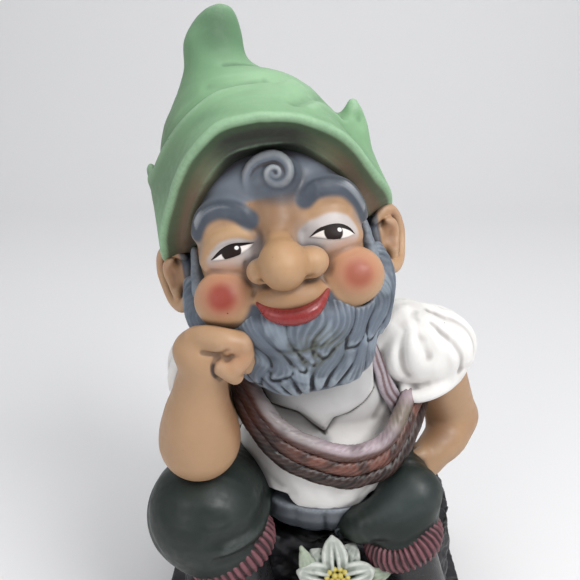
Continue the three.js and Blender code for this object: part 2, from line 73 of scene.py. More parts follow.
STOPPER_X = 2.0  # the stopper's axis is this far to the gnome's left of HOME
HOME = middle("base_stopper") - [STOPPER_X, 0, 0]
HOME[2] = 0
HEAD_AT = np.array([-25.0, -32.0, 302.0])
HEAD_TURN = np.array(Euler(map(math.radians, (-23, -9.4, 5))).to_matrix())
SIDES = {"right": -1, "left": 1}


# ---- shapes: (lowest corner, highest corner, distance function) ----------------------------------
def ball(at, radii, turn=(0, 0, 0)):
    axes = np.array(Euler(map(math.radians, turn)).to_matrix())
    at, radii = np.array(at, float), np.array(radii, float)
    reach = np.abs(axes) @ radii

    def distance(x, y, z):
        p = (x - at[0], y - at[1], z - at[2])
        q = [sum(axes[j, i] * p[j] for j in range(3)) / radii[i] for i in range(3)]
        share = np.sqrt(q[0] ** 2 + q[1] ** 2 + q[2] ** 2)
        slope = np.sqrt(sum((q[i] / radii[i]) ** 2 for i in range(3)))
        return share * (share - 1) / np.maximum(slope, 1e-4)

    return at - reach, at + reach, distance


def along(points, steps=5):
    """Rows on a smooth curve through the given rows of numbers."""
    p = np.array(points, float)
    p = np.vstack([2 * p[0] - p[1], p, 2 * p[-1] - p[-2]])
    t = (np.arange(steps) / steps)[:, None]
    spans = []
    for a, b, c, d in zip(p, p[1:], p[2:], p[3:]):
        bend = (a - 2.5 * b + 2 * c - d / 2) * t**2 + (1.5 * (b - c) + (d - a) / 2) * t**3
        spans.append(b + (c - a) * t / 2 + bend)
    return np.vstack(spans + [p[-2:-1]])


def strand(points, radii):
    """A round strand with a radius at each point, as rows of x, y, z and radius."""
    return along(np.column_stack([points, radii]))


def to_line(grid, line):
    """Distance from each cell of the grid to a strand's surface, or to a plain line of x, y and z."""
    x, y, z = grid
    nearest = np.full(np.broadcast_shapes(x.shape, y.shape, z.shape), FAR, np.float32)
    for a, b in zip(line, line[1:]):
        step = b[:3] - a[:3]
        length = max(float(step @ step), TINY)
        ra, rb = (a[3], b[3]) if len(a) > 3 else (0, 0)
        reach = max(ra, rb) + FAR
        low, high = np.minimum(a[:3], b[:3]) - reach, np.maximum(a[:3], b[:3]) + reach
        cut = [slice(*np.searchsorted(side.ravel(), ends)) for side, *ends in zip(grid, low, high)]
        p = [x[cut[0]] - a[0], y[:, cut[1]] - a[1], z[:, :, cut[2]] - a[2]]
        t = np.clip((p[0] * step[0] + p[1] * step[1] + p[2] * step[2]) / length, 0, 1)
        gap = np.sqrt(sum((p[i] - t * step[i]) ** 2 for i in range(3))) - (ra + (rb - ra) * t)
        part = nearest[cut[0], cut[1], cut[2]]
        np.minimum(part, gap, out=part)
    return nearest


def between(table, value):
    """A table's columns at the values of its first column, in proportion between the rows."""
    table = np.array(table, float)
    return [np.interp(value, table[:, 0], column) for column in table[:, 1:].T]


def soft_union(a, b, soft):
    closeness = np.maximum(soft - np.abs(a - b), 0) / soft
    return np.minimum(a, b) - closeness**2 * soft / 4


def soft_max(a, b, soft):
    return -soft_union(-a, -b, soft)


def smoothed(field, passes):
    for _ in range(passes):
        for axis in range(3):
            field = (2 * field + np.roll(field, 1, axis) + np.roll(field, -1, axis)) / 4
    return field


def unit(v):
    return v / max(np.linalg.norm(v), 1e-9)


def grid_faces(rows, columns, closed=True):
    """Quads over a grid of points; a closed grid's last row and column join its first."""
    i, j = (index.ravel() for index in np.mgrid[: rows - (not closed), : columns - (not closed)])
    below, beside = (i + 1) % rows * columns, (j + 1) % columns
    return np.stack([i * columns + j, i * columns + beside, below + beside, below + j], 1)


def ramp(value, start, end):
    """0 before start, 1 after end, smooth between."""
    t = np.clip((value - start) / (end - start), 0, 1)
    return t * t * (3 - 2 * t)


def ripple(points, size, seed=0):
    """Smooth lumps of about that size, from -1 to 1, at rows of points."""
    random = np.random.default_rng(seed)
    total = 0
    for octave in range(5):
        way = random.normal(size=3)
        way *= 2 * math.pi / (size * (0.7 + 0.25 * octave) * np.linalg.norm(way))
        start = random.uniform(0, 2 * math.pi)
        total = total + np.sin(points @ way + start + 1.3 * np.sin(points[:, [1, 2, 0]] @ way))
    return total / 3.2


# ---- clay: a grid of signed distances that shapes are pressed onto -------------------------------
class Clay:
    def __init__(self, low, high, voxel, on_head=False):
        self.voxel = voxel
        self.low = np.array(low, float)
        counts = np.ceil((np.array(high) - self.low) / voxel).astype(int) + 1
        self.field = np.full(counts, FAR, np.float32)
        self.on_head = on_head

    def window(self, low, high):
        """The cells of a box, and the x, y and z of their places."""
        first = np.floor((np.array(low) - self.low) / self.voxel).astype(int).clip(0, self.field.shape)
        last = np.ceil((np.array(high) - self.low) / self.voxel).astype(int).clip(0, self.field.shape)
        cells = tuple(slice(a, b) for a, b in zip(first, last))
        lines = [self.low[i] + self.voxel * np.arange(first[i], last[i]) for i in range(3)]
        x, y, z = (line.astype(np.float32) for line in lines)
        return cells, (x[:, None, None], y[None, :, None], z[None, None, :])

    def press(self, low, high, distance, soft, sign=1):
        """Joins a solid on, or cuts it away with sign -1, blended over soft."""
        margin = soft + 3 * self.voxel
        cells, grid = self.window(low - margin, high + margin)
        part = self.field[cells]
        if part.size:
            part[...] = sign * soft_union(sign * part, distance(*grid), max(soft, 0.01))

    def add(self, shape, soft=0.5):
        self.press(*shape, soft)

    def cut(self, shape, soft=0.5):
        self.press(*shape, soft, -1)

    def lay(self, rows, soft=0.5):
        """Joins a strand on, from rows of x, y, z and radius."""
        reach = rows[:, 3].max()
        box = rows[:, :3].min(0) - reach, rows[:, :3].max(0) + reach
        self.press(*box, lambda *grid: to_line(grid, rows), soft)

    def roll(self, points, radii, soft=0.5):
        """Lays a round strand with a radius at each point."""
        self.lay(strand(points, radii), soft)

    def score(self, points, width, depth):
        """A soft groove along a smooth line, or a ridge where depth is negative."""
        line = along(points)
        cells, grid = self.window(line.min(0) - 2.5 * width, line.max(0) + 2.5 * width)
        self.field[cells] += depth * np.exp(-((to_line(grid, line) / width) ** 2))

    def fold(self, points, width, depth):
        """A groove or ridge along the surface, past the given points."""
        self.score(self.settle(points), width, depth)

    def at(self, points, field=None):
        """The distance at rows of points."""
        field = self.field if field is None else field
        place = ((points - self.low) / self.voxel).clip(0, np.array(field.shape) - 1.001)
        i = place.astype(int)
        t = place - i
        total = 0
        for corner in np.ndindex(2, 2, 2):
            weight = np.prod(np.where(corner, t, 1 - t), axis=1)
            total = total + weight * field[i[:, 0] + corner[0], i[:, 1] + corner[1], i[:, 2] + corner[2]]
        return total

    def slope(self, points):
        """The way straight out of the clay at rows of points."""
        steps = np.eye(3) * self.voxel
        g = np.stack([self.at(points + s) - self.at(points - s) for s in steps], 1)
        return g / np.maximum(np.linalg.norm(g, axis=1, keepdims=True), TINY)

    def to_surface(self, points, rounds):
        for _ in range(rounds):
            points = points - self.slope(points) * self.at(points)[:, None]
        return points

    def settle(self, points, lift=0.0):
        """The points moved onto the surface, then straight out of it by lift."""
        points = self.to_surface(np.array(points, float), 5)
        return points + self.slope(points) * lift

    def blurred(self, passes):
        return smoothed(np.clip(self.field, -4 * self.voxel, 4 * self.voxel), passes)

    def skin(self, name):
        """The clay's surface as a Piece."""
        self.field = np.clip(self.blurred(1), -FAR, FAR)
        grid = openvdb.FloatGrid(FAR)
        grid.copyFromArray(self.field)
        points, quads = grid.convertToQuads(isovalue=0.0)
        points = self.to_surface(points * self.voxel + self.low, 2)
        piece = Piece(name, points, quads[:, ::-1], self.on_head)
        piece.relief = self.at(points, self.blurred(7)) / self.voxel
        CLAYWORK.append(self)
        return piece


CLAYWORK = []
PIECES = []


def to_body(points, on_head):
    return points @ HEAD_TURN.T + HEAD_AT if on_head else points


def to_head(points):
    return (points - HEAD_AT) @ HEAD_TURN


class Piece:
    """A mesh in the making: its points and faces, and a paint tone at each point."""

    def __init__(self, name, points, faces, on_head=False):
        self.name = name
        self.points = np.asarray(points, float)
        self.faces = np.asarray(faces)
        self.on_head = on_head
        self.relief = np.zeros(len(self.points))
        self.tone = np.ones((len(self.points), 3))
        corners = self.points[self.faces[:, :4]]
        across = corners[:, 2] - corners[:, 0], corners[:, -1] - corners[:, 1]
        facing = np.cross(*across)
        if (corners.mean(1) * facing).sum() < 0:
            self.faces = self.faces[:, ::-1]
            facing = -facing
        normals = np.zeros_like(self.points)
        for k in range(self.faces.shape[1]):
            np.add.at(normals, self.faces[:, k], facing)
        self.normals = normals / np.maximum(np.linalg.norm(normals, axis=1, keepdims=True), 1e-9)
        PIECES.append(self)

    def swell(self, amount):
        """Moves each point out along its normal."""
        self.points = self.points + self.normals * np.asarray(amount).reshape(-1, 1)

    def paint(self, colour):
        self.tone[:] = linear(colour)
        return self

    def spray(self, colour, mask):
        """Lays colour over the tone, fully where the mask is 1."""
        self.tone += (linear(colour) - self.tone) * np.clip(mask, 0, 1)[:, None]

    def dab(self, colour, amount, at, radii, soft=0.5):
        """Sprays an ellipsoid of the surface."""
        self.spray(colour, amount * self.near(at, radii, soft))

    def streak(self, colour, amount, points, reach, soft):
        """Sprays along a line."""
        self.spray(colour, amount * self.beside(points, reach, soft))

    def cloud(self, colour, amount, size, seed, start, end):
        """Sprays patches of about that size."""
        self.spray(colour, amount * ramp(ripple(self.points, size, seed), start, end))

    def near(self, at, radii, soft=0.5):
        """1 well inside an ellipsoid, 0 outside it; soft is the share of the radius that fades."""
        share = np.linalg.norm((self.points - at) / np.array(radii, float), axis=1)
        return 1 - ramp(share, 1 - soft, 1 + soft)

    def beside(self, points, reach, soft, axes=(1, 1, 1)):
        """1 within reach of a line, fading to 0 over soft, measured along the given axes only."""
        rows = along(points) * axes
        places = self.points * axes
        nearest = np.full(len(places), 1e3)
        for a, b in zip(rows, rows[1:]):
            t = np.clip((places - a) @ (b - a) / max((b - a) @ (b - a), TINY), 0, 1)
            nearest = np.minimum(nearest, np.linalg.norm(places - a - t[:, None] * (b - a), axis=1))
        return 1 - ramp(nearest, reach, reach + soft)


def linear(colour):
    """A 0xRRGGBB colour as linear light."""
    c = np.array([colour >> 16 & 255, colour >> 8 & 255, colour & 255]) / 255
    return np.where(c <= 0.04045, c / 12.92, ((c + 0.055) / 1.055) ** 2.4)


# ---- finishing: painted shade in the creases between pieces, then real Blender meshes ------------
class Crowding:
    """How much of the space just outside a point is filled, from a coarse grid of the whole figure."""

    CELL = 2.5
    LOOK_OUT = 3.2  # how far from the surface the space is felt
    OPEN, FULL = 0.24, 0.62  # the filled share of that space that counts as free, and as crowded

    def __init__(self):
        low = np.array(CAD_BOX[0]) / MM - HOME - 10
        high = np.array(CAD_BOX[1]) / MM - HOME + 10
        self.room = Clay(low, high, self.CELL)
        filled = np.zeros(self.room.field.shape, np.float32)
        indices = np.stack(np.meshgrid(*map(np.arange, filled.shape), indexing="ij"), -1).reshape(-1, 3)
        places = self.room.low + indices * self.CELL
        for clay in CLAYWORK:
            local = to_head(places) if clay.on_head else places
            top = clay.low + (np.array(clay.field.shape) - 1) * clay.voxel
            inside = ((local > clay.low) & (local < top)).all(1)
            solid = clay.at(local[inside]) < 0
            spots = indices[inside][solid]
            filled[spots[:, 0], spots[:, 1], spots[:, 2]] = 1
        self.room.field = smoothed(filled, 3)

    def around(self, piece):
        points = to_body(piece.points, piece.on_head)
        normals = piece.normals @ HEAD_TURN.T if piece.on_head else piece.normals
        return ramp(self.room.at(points + normals * self.LOOK_OUT), self.OPEN, self.FULL)


def build(piece, crowding, material, nodes):
    mesh = bpy.data.meshes.new(piece.name)
    points = (to_body(piece.points, piece.on_head) + HOME) * MM
    mesh.from_pydata(points.tolist(), [], piece.faces.tolist())
    mesh.polygons.foreach_set("use_smooth", np.ones(len(mesh.polygons), bool))
    tone = np.column_stack([piece.tone, np.ones(len(points))])
    layer = mesh.attributes.new("tone", "FLOAT_COLOR", "POINT")
    layer.data.foreach_set("color", tone.ravel().astype(np.float32))
    for name, values in (("relief", piece.relief), ("crowding", crowding.around(piece))):
        layer = mesh.attributes.new(name, "FLOAT", "POINT")
        layer.data.foreach_set("value", np.asarray(values, np.float32))
    obj = bpy.data.objects.new(piece.name, mesh)
    bpy.context.scene.collection.objects.link(obj)
    mesh.materials.append(material)
    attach(obj, "figure")
    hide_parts(*nodes)


# ---- materials -----------------------------------------------------------------------------------
class Shader:
    """A node material for painted moulding, put together one node at a time."""

    def __init__(self, name):
        self.material = bpy.data.materials.new(name)
        self.material.use_nodes = True
        self.tree = self.material.node_tree
        self.surface = self.tree.nodes["Principled BSDF"]
        self.place = self.node("ShaderNodeTexCoord").outputs["Object"]

    def node(self, kind, **settings):
        made = self.tree.nodes.new(kind)
        for key, value in settings.items():
            setattr(made, key, value)
        return made

    def feed(self, socket, value):
        if isinstance(value, bpy.types.NodeSocket):
            self.tree.links.new(value, socket)
        else:
            socket.default_value = value

    def attribute(self, name, output="Fac"):
        return self.node("ShaderNodeAttribute", attribute_name=name).outputs[output]

    def math(self, operation, a, b):
        made = self.node("ShaderNodeMath", operation=operation)
        made.use_clamp = True
        self.feed(made.inputs[0], a)
        self.feed(made.inputs[1], b)
        return made.outputs[0]

    def spread(self, value, start, end, low=0.0, high=1.0):
        made = self.node("ShaderNodeMapRange", interpolation_type="SMOOTHSTEP")
        for socket, number in zip(made.inputs, (value, start, end, low, high)):
            self.feed(socket, number)
        return made.outputs["Result"]

    def noise(self, size_mm, detail=3.0):
        made = self.node("ShaderNodeTexNoise")
        made.inputs["Scale"].default_value = 1 / (size_mm * MM)
        made.inputs["Detail"].default_value = detail
        self.feed(made.inputs["Vector"], self.place)
        return made.outputs["Fac"]

    def specks(self, size_mm, share):
        """Small round dots, about size_mm apart, that cover that share of their cells' width."""
        made = self.node("ShaderNodeTexVoronoi")
        made.inputs["Scale"].default_value = 1 / (size_mm * MM)
        self.feed(made.inputs["Vector"], self.place)
        return self.spread(made.outputs["Distance"], share, share * 0.6)

    def mix(self, kind, amount, a, b):
        made = self.node("ShaderNodeMix", data_type="RGBA", blend_type=kind)
        self.feed(made.inputs["Factor"], amount)
        self.feed(made.inputs[6], a)
        self.feed(made.inputs[7], b)
        return made.outputs[2]

    def bump(self, height, distance_mm):
        made = self.node("ShaderNodeBump")
        made.inputs["Distance"].default_value = distance_mm * MM
        made.inputs["Strength"].default_value = 1.0
        self.feed(made.inputs["Height"], height)
        self.feed(self.surface.inputs["Normal"], made.outputs["Normal"])


def rgba(colour):
    return (*linear(colour), 1)


# The wash in hollows (dark paint, partly painted shade), the dry brush on ridges (pale paint, partly
# painted highlight) and the painted shade where pieces meet, each with its strength, then the least and
# most roughness, the bump's height, the mottling's depth and the chips' strength.
PAINTS = {
    "hat_felt_green": (0x4A6B4E, 0.5, 0xA9CBA8, 0.5, 0x32402F, 0.4, (0.52, 0.68), 0.07, 0.07, 1.0),
    "skin_tan": (0x3F302B, 0.5, 0xE9D9C8, 0.12, 0x33292A, 0.6, (0.42, 0.56), 0.05, 0.06, 1.0),
    "hair_slate": (0x14181E, 0.95, 0xA4ACB4, 0.55, 0x1F242B, 0.45, (0.45, 0.6), 0.08, 0.12, 0.6),
    "shirt_white": (0x6F6966, 0.55, 0xF6F4F0, 0.6, 0x433E40, 0.6, (0.45, 0.6), 0.07, 0.06, 0.8),
    "strap_brown": (0x2A1D1F, 0.9, 0xC9BFC6, 0.6, 0x1B1516, 0.5, (0.35, 0.5), 0.06, 0.1, 0.2),
    "rope_brown": (0x0B0808, 0.95, 0x9A7566, 0.14, 0x100A0A, 0.85, (0.36, 0.5), 0.09, 0.14, 0.5),
    "trouser_green": (0x0D1212, 0.75, 0x5D6563, 0.35, 0x08090A, 0.72, (0.42, 0.55), 0.05, 0.08, 0.6),
    "waistband_grey": (0x2A2E34, 0.8, 0xA9B0B8, 0.5, 0x1B1D20, 0.62, (0.38, 0.5), 0.05, 0.08, 0.3),
    "button_dark": (0x101214, 0.8, 0x7A848A, 0.5, 0x0B0C0D, 0.4, (0.3, 0.4), 0.03, 0.1, 0),
    "sock_red": (0x2A1216, 0.9, 0x8E5C64, 0.4, 0x140C0E, 0.55, (0.45, 0.6), 0.09, 0.12, 0.3),
    "lace_brown": (0x1A100C, 0.8, 0x8A6A55, 0.5, 0x120C0A, 0.5, (0.5, 0.65), 0.05, 0.1, 0),
    "lip_red": (0x4A0E10, 0.8, 0xE2746C, 0.3, 0x3A1012, 0.5, (0.26, 0.36), 0.03, 0.05, 0),
    "edelweiss": (0x3C443E, 0.85, 0xF0F2EA, 0.5, 0x23271F, 0.55, (0.5, 0.65), 0.08, 0.1, 0.3),
    "leaf_green": (0x20281E, 0.85, 0xC3CBB8, 0.5, 0x141A12, 0.5, (0.5, 0.65), 0.08, 0.12, 0),
    "flower_yellow": (0x3C3414, 0.8, 0xE6DB8A, 0.5, 0x2A2610, 0.4, (0.5, 0.65), 0.06, 0.1, 0),
}
BLACKS = {"boot_black": (0.25, 0.4), "sole_black": (0.5, 0.65), "rock_black": (0.35, 0.6)}
for black, roughness in BLACKS.items():
    PAINTS[black] = (0x040405, 0.8, 0x55555A, 0.45, 0x060607, 0.5, roughness, 0.14, 0.2, 0.3)

BRUSH_MM = 2.2  # the breaks in the dry brush's pale paint and painted highlight
CLOUD_MM = 14.0  # the mottling
SHEEN_MM = 5.0  # duller and shinier paint
GRAIN_MM = 1.4  # the bump
CHIP_MM = 9.0  # from one chip to the next
CHIP_SHARE = 0.055  # a chip's radius as a share of that
CHIP_PATCH_MM = 30.0  # the patches that chips lie in
CHIP_COLOUR = 0x1A1614


def painted(name):
    """Moulded plastic under brushed paint: a dark wash in the hollows, partly painted shade, a dry brush
    on the ridges, partly painted highlight, painted shade where pieces meet, faint brush mottling, and a
    few chips."""
    wash_shade, wash_shade_amount, dry_highlight, dry_highlight_amount, contact_shade, contact_shade_amount, rough, grain, mottle, chips = PAINTS[name]
    s = Shader(name)
    relief = s.attribute("relief")
    # the wash: dark paint in the hollows, partly painted shade
    hollow = s.math("MULTIPLY", s.spread(relief, -0.03, -0.5), wash_shade_amount)
    colour = s.mix("MIX", hollow, s.attribute("tone", "Color"), rgba(wash_shade))
    broken = s.spread(s.noise(BRUSH_MM, 4.0), 0.3, 0.62, 0.6, 1.0)
    # the dry brush: pale paint on the ridges, partly painted highlight, broken up by noise
    ridge = s.math("MULTIPLY", s.math("MULTIPLY", s.spread(relief, 0.05, 0.55), dry_highlight_amount), broken)
    colour = s.mix("MIX", ridge, colour, rgba(dry_highlight))
    # painted shade where pieces crowd together
    crowd = s.math("MULTIPLY", s.attribute("crowding"), contact_shade_amount)
    colour = s.mix("MIX", crowd, colour, rgba(contact_shade))
    cloud = s.spread(s.noise(CLOUD_MM, 3.0), 0.25, 0.75, 1 - mottle, 1.0)
    shade = s.node("ShaderNodeCombineColor")
    for socket in shade.inputs:
        s.feed(socket, cloud)
    colour = s.mix("MULTIPLY", 1.0, colour, shade.outputs[0])
    if chips:
        patches = s.spread(s.noise(CHIP_PATCH_MM, 1.0), 0.5, 0.62)
        spots = s.math("MULTIPLY", s.specks(CHIP_MM, CHIP_SHARE), patches)
        colour = s.mix("MIX", s.math("MULTIPLY", spots, chips), colour, rgba(CHIP_COLOUR))
    s.feed(s.surface.inputs["Base Color"], colour)
    s.feed(s.surface.inputs["Roughness"], s.spread(s.noise(SHEEN_MM, 3.0), 0.3, 0.7, *rough))
    s.bump(s.noise(GRAIN_MM, 4.0), grain)
    return s.material


def print_gloss():
    s = Shader("eye_print")
    s.feed(s.surface.inputs["Base Color"], s.attribute("tone", "Color"))
    s.feed(s.surface.inputs["Roughness"], s.spread(s.noise(3.0), 0.3, 0.7, 0.42, 0.52))
    s.feed(s.surface.inputs["Specular IOR Level"], 0.2)
    s.bump(s.noise(0.8, 2.0), 0.01)
    return s.material


def plate_plastic(name, colour, rough):
    s = Shader(name)
    cloud = s.spread(s.noise(18.0, 4.0), 0.3, 0.7)
    darker = (*(0.6 * linear(colour)), 1)
    s.feed(s.surface.inputs["Base Color"], s.mix("MIX", cloud, rgba(colour), darker))
    s.feed(s.surface.inputs["Roughness"], s.spread(s.noise(4.0), 0.3, 0.7, rough, rough + 0.15))
    s.bump(s.noise(0.9, 3.0), 0.1)
    return s.material


# ---- face (in the head's own frame: x to the gnome's left, y backwards, z up) --------------------
BROWS = {
    "right": [[-44, -38, 18], [-38, -42.5, 24.5], [-29, -46, 26.5], [-20, -49, 23.5],
              [-14.5, -49.5, 18.5]],
    "left": [[17, -48.5, 24], [23, -48.5, 28], [31, -46.5, 28.6], [39, -42.5, 26], [45, -37, 19],
             [49, -31, 11]],
}
BROW_THICK = {"right": [2.2, 5.0, 6.0, 5.0, 1.6], "left": [0.8, 3.6, 5.2, 5.4, 4.2, 2.0]}
LASHES = {
    "right": [[-40.5, 0.4], [-33.6, 5.2], [-25.9, 7.9], [-19.7, 7.6], [-13.8, 6.2]],
    "left": [[15.2, 3.8], [21.8, 7.4], [32.0, 8.4], [39.2, 5.6], [43.2, 0.4]],
}
LIDS = {
    "right": [[-40.5, 0.4], [-32.2, 0.2], [-23.2, 1.2], [-17, 3.8], [-13.8, 6.2]],
    "left": [[15.2, 3.8], [20.5, 2.3], [26.2, 0.6], [34.6, -0.4], [43.2, 0.4]],
}
IRISES = {"right": ([-26.8, 4.0], 5.4), "left": ([28.6, 4.0], 5.2)}
GLINTS = {"right": ([-23.6, 4.9], 1.15), "left": ([32.0, 4.6], 1.25)}
MOUTH_TOP = [[-18.5, -51, -25], [-10.4, -57, -30.6], [0, -59, -33], [10.7, -57.5, -31],
             [20.5, -50.5, -25]]
CURL_AT = np.array([3.5, -46.5, 39.5])
LID_PAINT = {"right": 2.0, "left": 4.6}  # how far the pale paint reaches round each lash line
SLATE = 0x464D58


def forelock():
    """The snail-shell curl on the forehead, from its tail under the hat to its raised middle."""
    rows = []
    for degrees in np.linspace(-110, 640, 46):
        turned = max(math.radians(degrees), 0)
        tail = ramp(-degrees, 0, 110)
        reach = 9.4 * math.exp(-0.165 * turned) + 7 * tail
        thick = 0.41 * (reach - 7 * tail) + 0.35 - 1.6 * tail
        angle = math.radians(degrees)
        lift = -1.5 - 5.2 * (1 - math.exp(-0.25 * turned)) + 2.5 * tail
        rows.append([reach * math.sin(angle), lift, reach * math.cos(angle), thick])
    rows = np.array(rows)
    rows[:, :3] += CURL_AT
    return rows


def sculpt_head():
    clay = Clay((-78, -82, -60), (78, 60, 64), FINE, on_head=True)
    clay.add(ball((0, 4, 0), (51, 52, 60)))
    clay.add(ball((0, -6, 36), (50, 42, 31)), 8)
    clay.add(ball((0, -32, -30), (40, 19, 24)), 9)
    for s in SIDES.values():
        clay.add(ball((26 * s, -31, 14), (19, 15, 17)), 10)  # under the brow
        clay.add(ball((28 * s, -34, 1.5), (18.5, 14.5, 11.5), (0, 0, 20 * s)), 5)  # eyeball and lid
    clay.roll([[0, -38, 34], [0, -41, 20], [-1, -47, 8], [-2, -53, 0]], [13, 11, 8.5, 8.5], 9)
    for s in SIDES.values():
        clay.cut(ball((14 * s, -57, 7), (5, 8, 7)), 6)  # inner corners of the eyes
        clay.cut(ball((33 * s, -58, 17.5), (10, 9, 3.2)), 5)  # hollow under the brow
    sculpt_cheeks_and_nose(clay)
    for side in SIDES:
        sculpt_brow(clay, side)
    sculpt_creases(clay)
    clay.add(ball(CURL_AT + [0, 2, -0.5], (12.8, 7.5, 12.8)), 3)
    clay.lay(forelock(), 0.6)
    for s in SIDES.values():
        sculpt_ear(clay, s)
    return clay


def sculpt_cheeks_and_nose(clay):
    clay.add(ball((0, -42.5, -26), (20.5, 15.5, 11.5)), 2.5)  # muzzle
    clay.add(ball((-34.5, -36, -21), (18.2, 16.5, 16.8)), 3)
    clay.add(ball((35.0, -36, -21), (18.2, 16.5, 16.6)), 3)
    clay.add(ball((-13.5, -51.5, -9.5), (7.4, 8.5, 7.0)), 1.2)
    clay.add(ball((13.0, -53.5, -9.5), (10.2, 10.5, 8.8)), 1.2)
    clay.add(ball((-1.0, -58.5, -7.6), (12.7, 17, 13.0)), 3)
    clay.add(ball((-1.5, -62, -10), (11, 14.5, 10.6)), 5)


def sculpt_brow(clay, side):
    clay.roll(np.array(BROWS[side]) + [0, 4.0, 0], BROW_THICK[side], 8)
    brow = along(BROWS[side])
    for k in range(5):
        hair = brow + np.array([0, -3.4 - 0.4 * k, 3.9 - 1.5 * k])
        clay.fold(hair[2 + k % 2:-2:3], 0.75, 0.5)


def sculpt_creases(clay):
    """The drooping right lid, then the creases of lids, nose and muzzle and the parting of the lips."""
    clay.roll([[-40, -37, 6], [-33, -41.5, 11], [-24, -44.5, 12.5], [-15, -46, 9.5]],
              [3.0, 5.8, 5.8, 3.2], 2.5)
    clay.score([[-39.5, -44, 4.0], [-32, -48, 7.6], [-22, -50, 8.6], [-13.5, -50, 7.6]], 1.0, 0.4)
    clay.score([[13.5, -48, 8], [19, -49, 15.5], [29, -48, 19.2], [38, -45, 17.5], [44.5, -41, 11]],
               1.6, 1.0)
    clay.score([[-40, -42, -3.5], [-32, -47, -6.2], [-22, -49, -5.6], [-15, -49, -1.5]], 1.0, 0.5)
    clay.score([[16, -50, -3.5], [24, -50, -7.4], [35, -48, -8.4], [44, -43, -5.5]], 1.0, 0.5)
    clay.score([[-8, -54, 10], [0, -54, 9.2], [7, -54, 10]], 1.0, 0.45)
    for at in ((-13.0, -58.5, -15.5), (11.5, -60.5, -18.0)):
        clay.cut(ball(at, (3.4, 4.2, 2.2)), 1.5)  # nostrils
    clay.score([[-20.5, -47, -3], [-21.5, -46, -9], [-19.5, -47, -15], [-16, -50, -19]], 1.0, 1.2)
    clay.score([[22.5, -49, -3], [24.5, -48, -10], [22, -49, -17], [17, -51, -20]], 1.0, 1.2)
    for s in SIDES.values():
        clay.score([[18.5 * s, -47, -20], [21 * s, -46, -25], [22 * s, -45, -30], [19 * s, -47, -35]],
                   1.0, 1.0)
    clay.score([[px, py - 1.5, pz + 0.8] for px, py, pz in MOUTH_TOP], 1.2, 1.4)


def sculpt_ear(clay, s):
    clay.add(ball((64 * s, 6, -5), (5, 10.5, 19), (8, 0, 24 * s)), 2)
    clay.add(ball((57 * s, 5, -3), (6, 8, 15)), 3)
    rim = [[58, -2, 8], [66, 0, 14], [72, 8, 11], [74.5, 13, 2], [73.5, 13, -8], [70, 8, -17],
           [64, 0, -21], [60, -4, -17]]
    clay.roll([[s * x, y, z] for x, y, z in rim], [2.4, 3.4, 3.4, 3.2, 3.0, 3.4, 4.2, 2.8], 2)
    fold = [[65, -3, 7], [69.5, 1, 5], [70, 3, -2], [67.5, 0, -10]]
    clay.roll([[s * x, y, z] for x, y, z in fold], [1.4, 2.2, 2.2, 1.4], 2)
    clay.cut(ball((67 * s, -3.5, -3), (4.6, 4.2, 6.2), (0, 0, 24 * s)), 3)


def head():
    piece = sculpt_head().skin("head").paint(0xBA936E)
    piece.dab(0xB68E67, 1, (0, -64, -7), (19, 20, 16), 0.35)
    # painted shade on the muzzle under the nose
    piece.dab(0x9C7552, 0.6, (0, -55, -26), (20, 12, 8), 0.5)
    piece.dab(0x7F5E44, 0.75, (0, -48, 21), (16, 14, 15), 0.4)
    paint_eye_sockets(piece)
    paint_forehead(piece)
    paint_curl(piece)
    paint_cheeks(piece)
    paint_behind_face(piece)
    return piece


def paint_eye_sockets(piece):
    z = piece.points[:, 2]
    for side, s in SIDES.items():
        lash = [[px, -47, pz + 0.5] for px, pz in LASHES[side]]
        lid = [[px, -47, pz - 1.5] for px, pz in LIDS[side]]
        piece.spray(0xC1BAB7, 0.95 * piece.beside(lash, LID_PAINT[side], 2.6) * ramp(z, -14, -8))
        piece.spray(0xBAB2AE, 0.9 * piece.beside(lid, 2.6, 5.0) * ramp(z, -11, -6))
        piece.dab(0x8C8789, 0.55, (14 * s, -50, 3), (7, 9, 9), 0.6)
        # painted shade along the outer edges of the face
        piece.streak(0x817F84, 0.5, [[46 * s, -38, 12], [50 * s, -30, -2], [51 * s, -24, -12]], 2, 7)
    piece.streak(0xB8936D, 1, [[-37, -44, 9.4], [-31, -47, 13], [-22, -49, 13.6], [-15, -49, 11]],
                 2.2, 2.2)
    piece.streak(0xAA8664, 0.9, [[20, -48, 16], [29, -47, 18.6], [38, -44, 16]], 1.8, 3.4)
    # painted shade in the hollow between the right eye and the nose bridge
    piece.streak(0x583E2F, 0.6, [[-13, -49, 13], [-10.5, -49, 7], [-14, -49, 2]], 1.0, 4.0)


def paint_forehead(piece):
    """Hair colour down to the brows, with a tan patch between them, painted shadow under the hat's brim
    and painted highlights along the brows.
    """
    x, y, z = piece.points.T
    patch = (1 - ramp(abs(x + 1), 11.5, 15.5)) * (1 - ramp(z, 26.5, 29.5))
    piece.spray(0x727984, ramp(z, 20, 28) * (1 - patch))
    # painted shadow of the hat's brim: darker slate along the top of the forehead
    piece.streak(0x3E434B, 0.7, [[-52, -26, 34], [-44, -34, 40], [-30, -40, 49], [-10, -42, 54]], 3, 9)
    piece.spray(SLATE, 0.75 * ramp(z, 44, 56) * (1 - ramp(y, -30, -12)))
    for brow in BROWS.values():
        piece.streak(SLATE, 1, brow, 4.0, 3.2)
        # painted highlights along each brow's upper edge, laid as fine pale hair lines
        for up in (1.6, 3.4, 5.2):
            top = [[px, py - 3, pz + up] for px, py, pz in brow]
            piece.streak(0xA6AAAE, 0.2 + 0.13 * up, top, 0.1, 1.3)


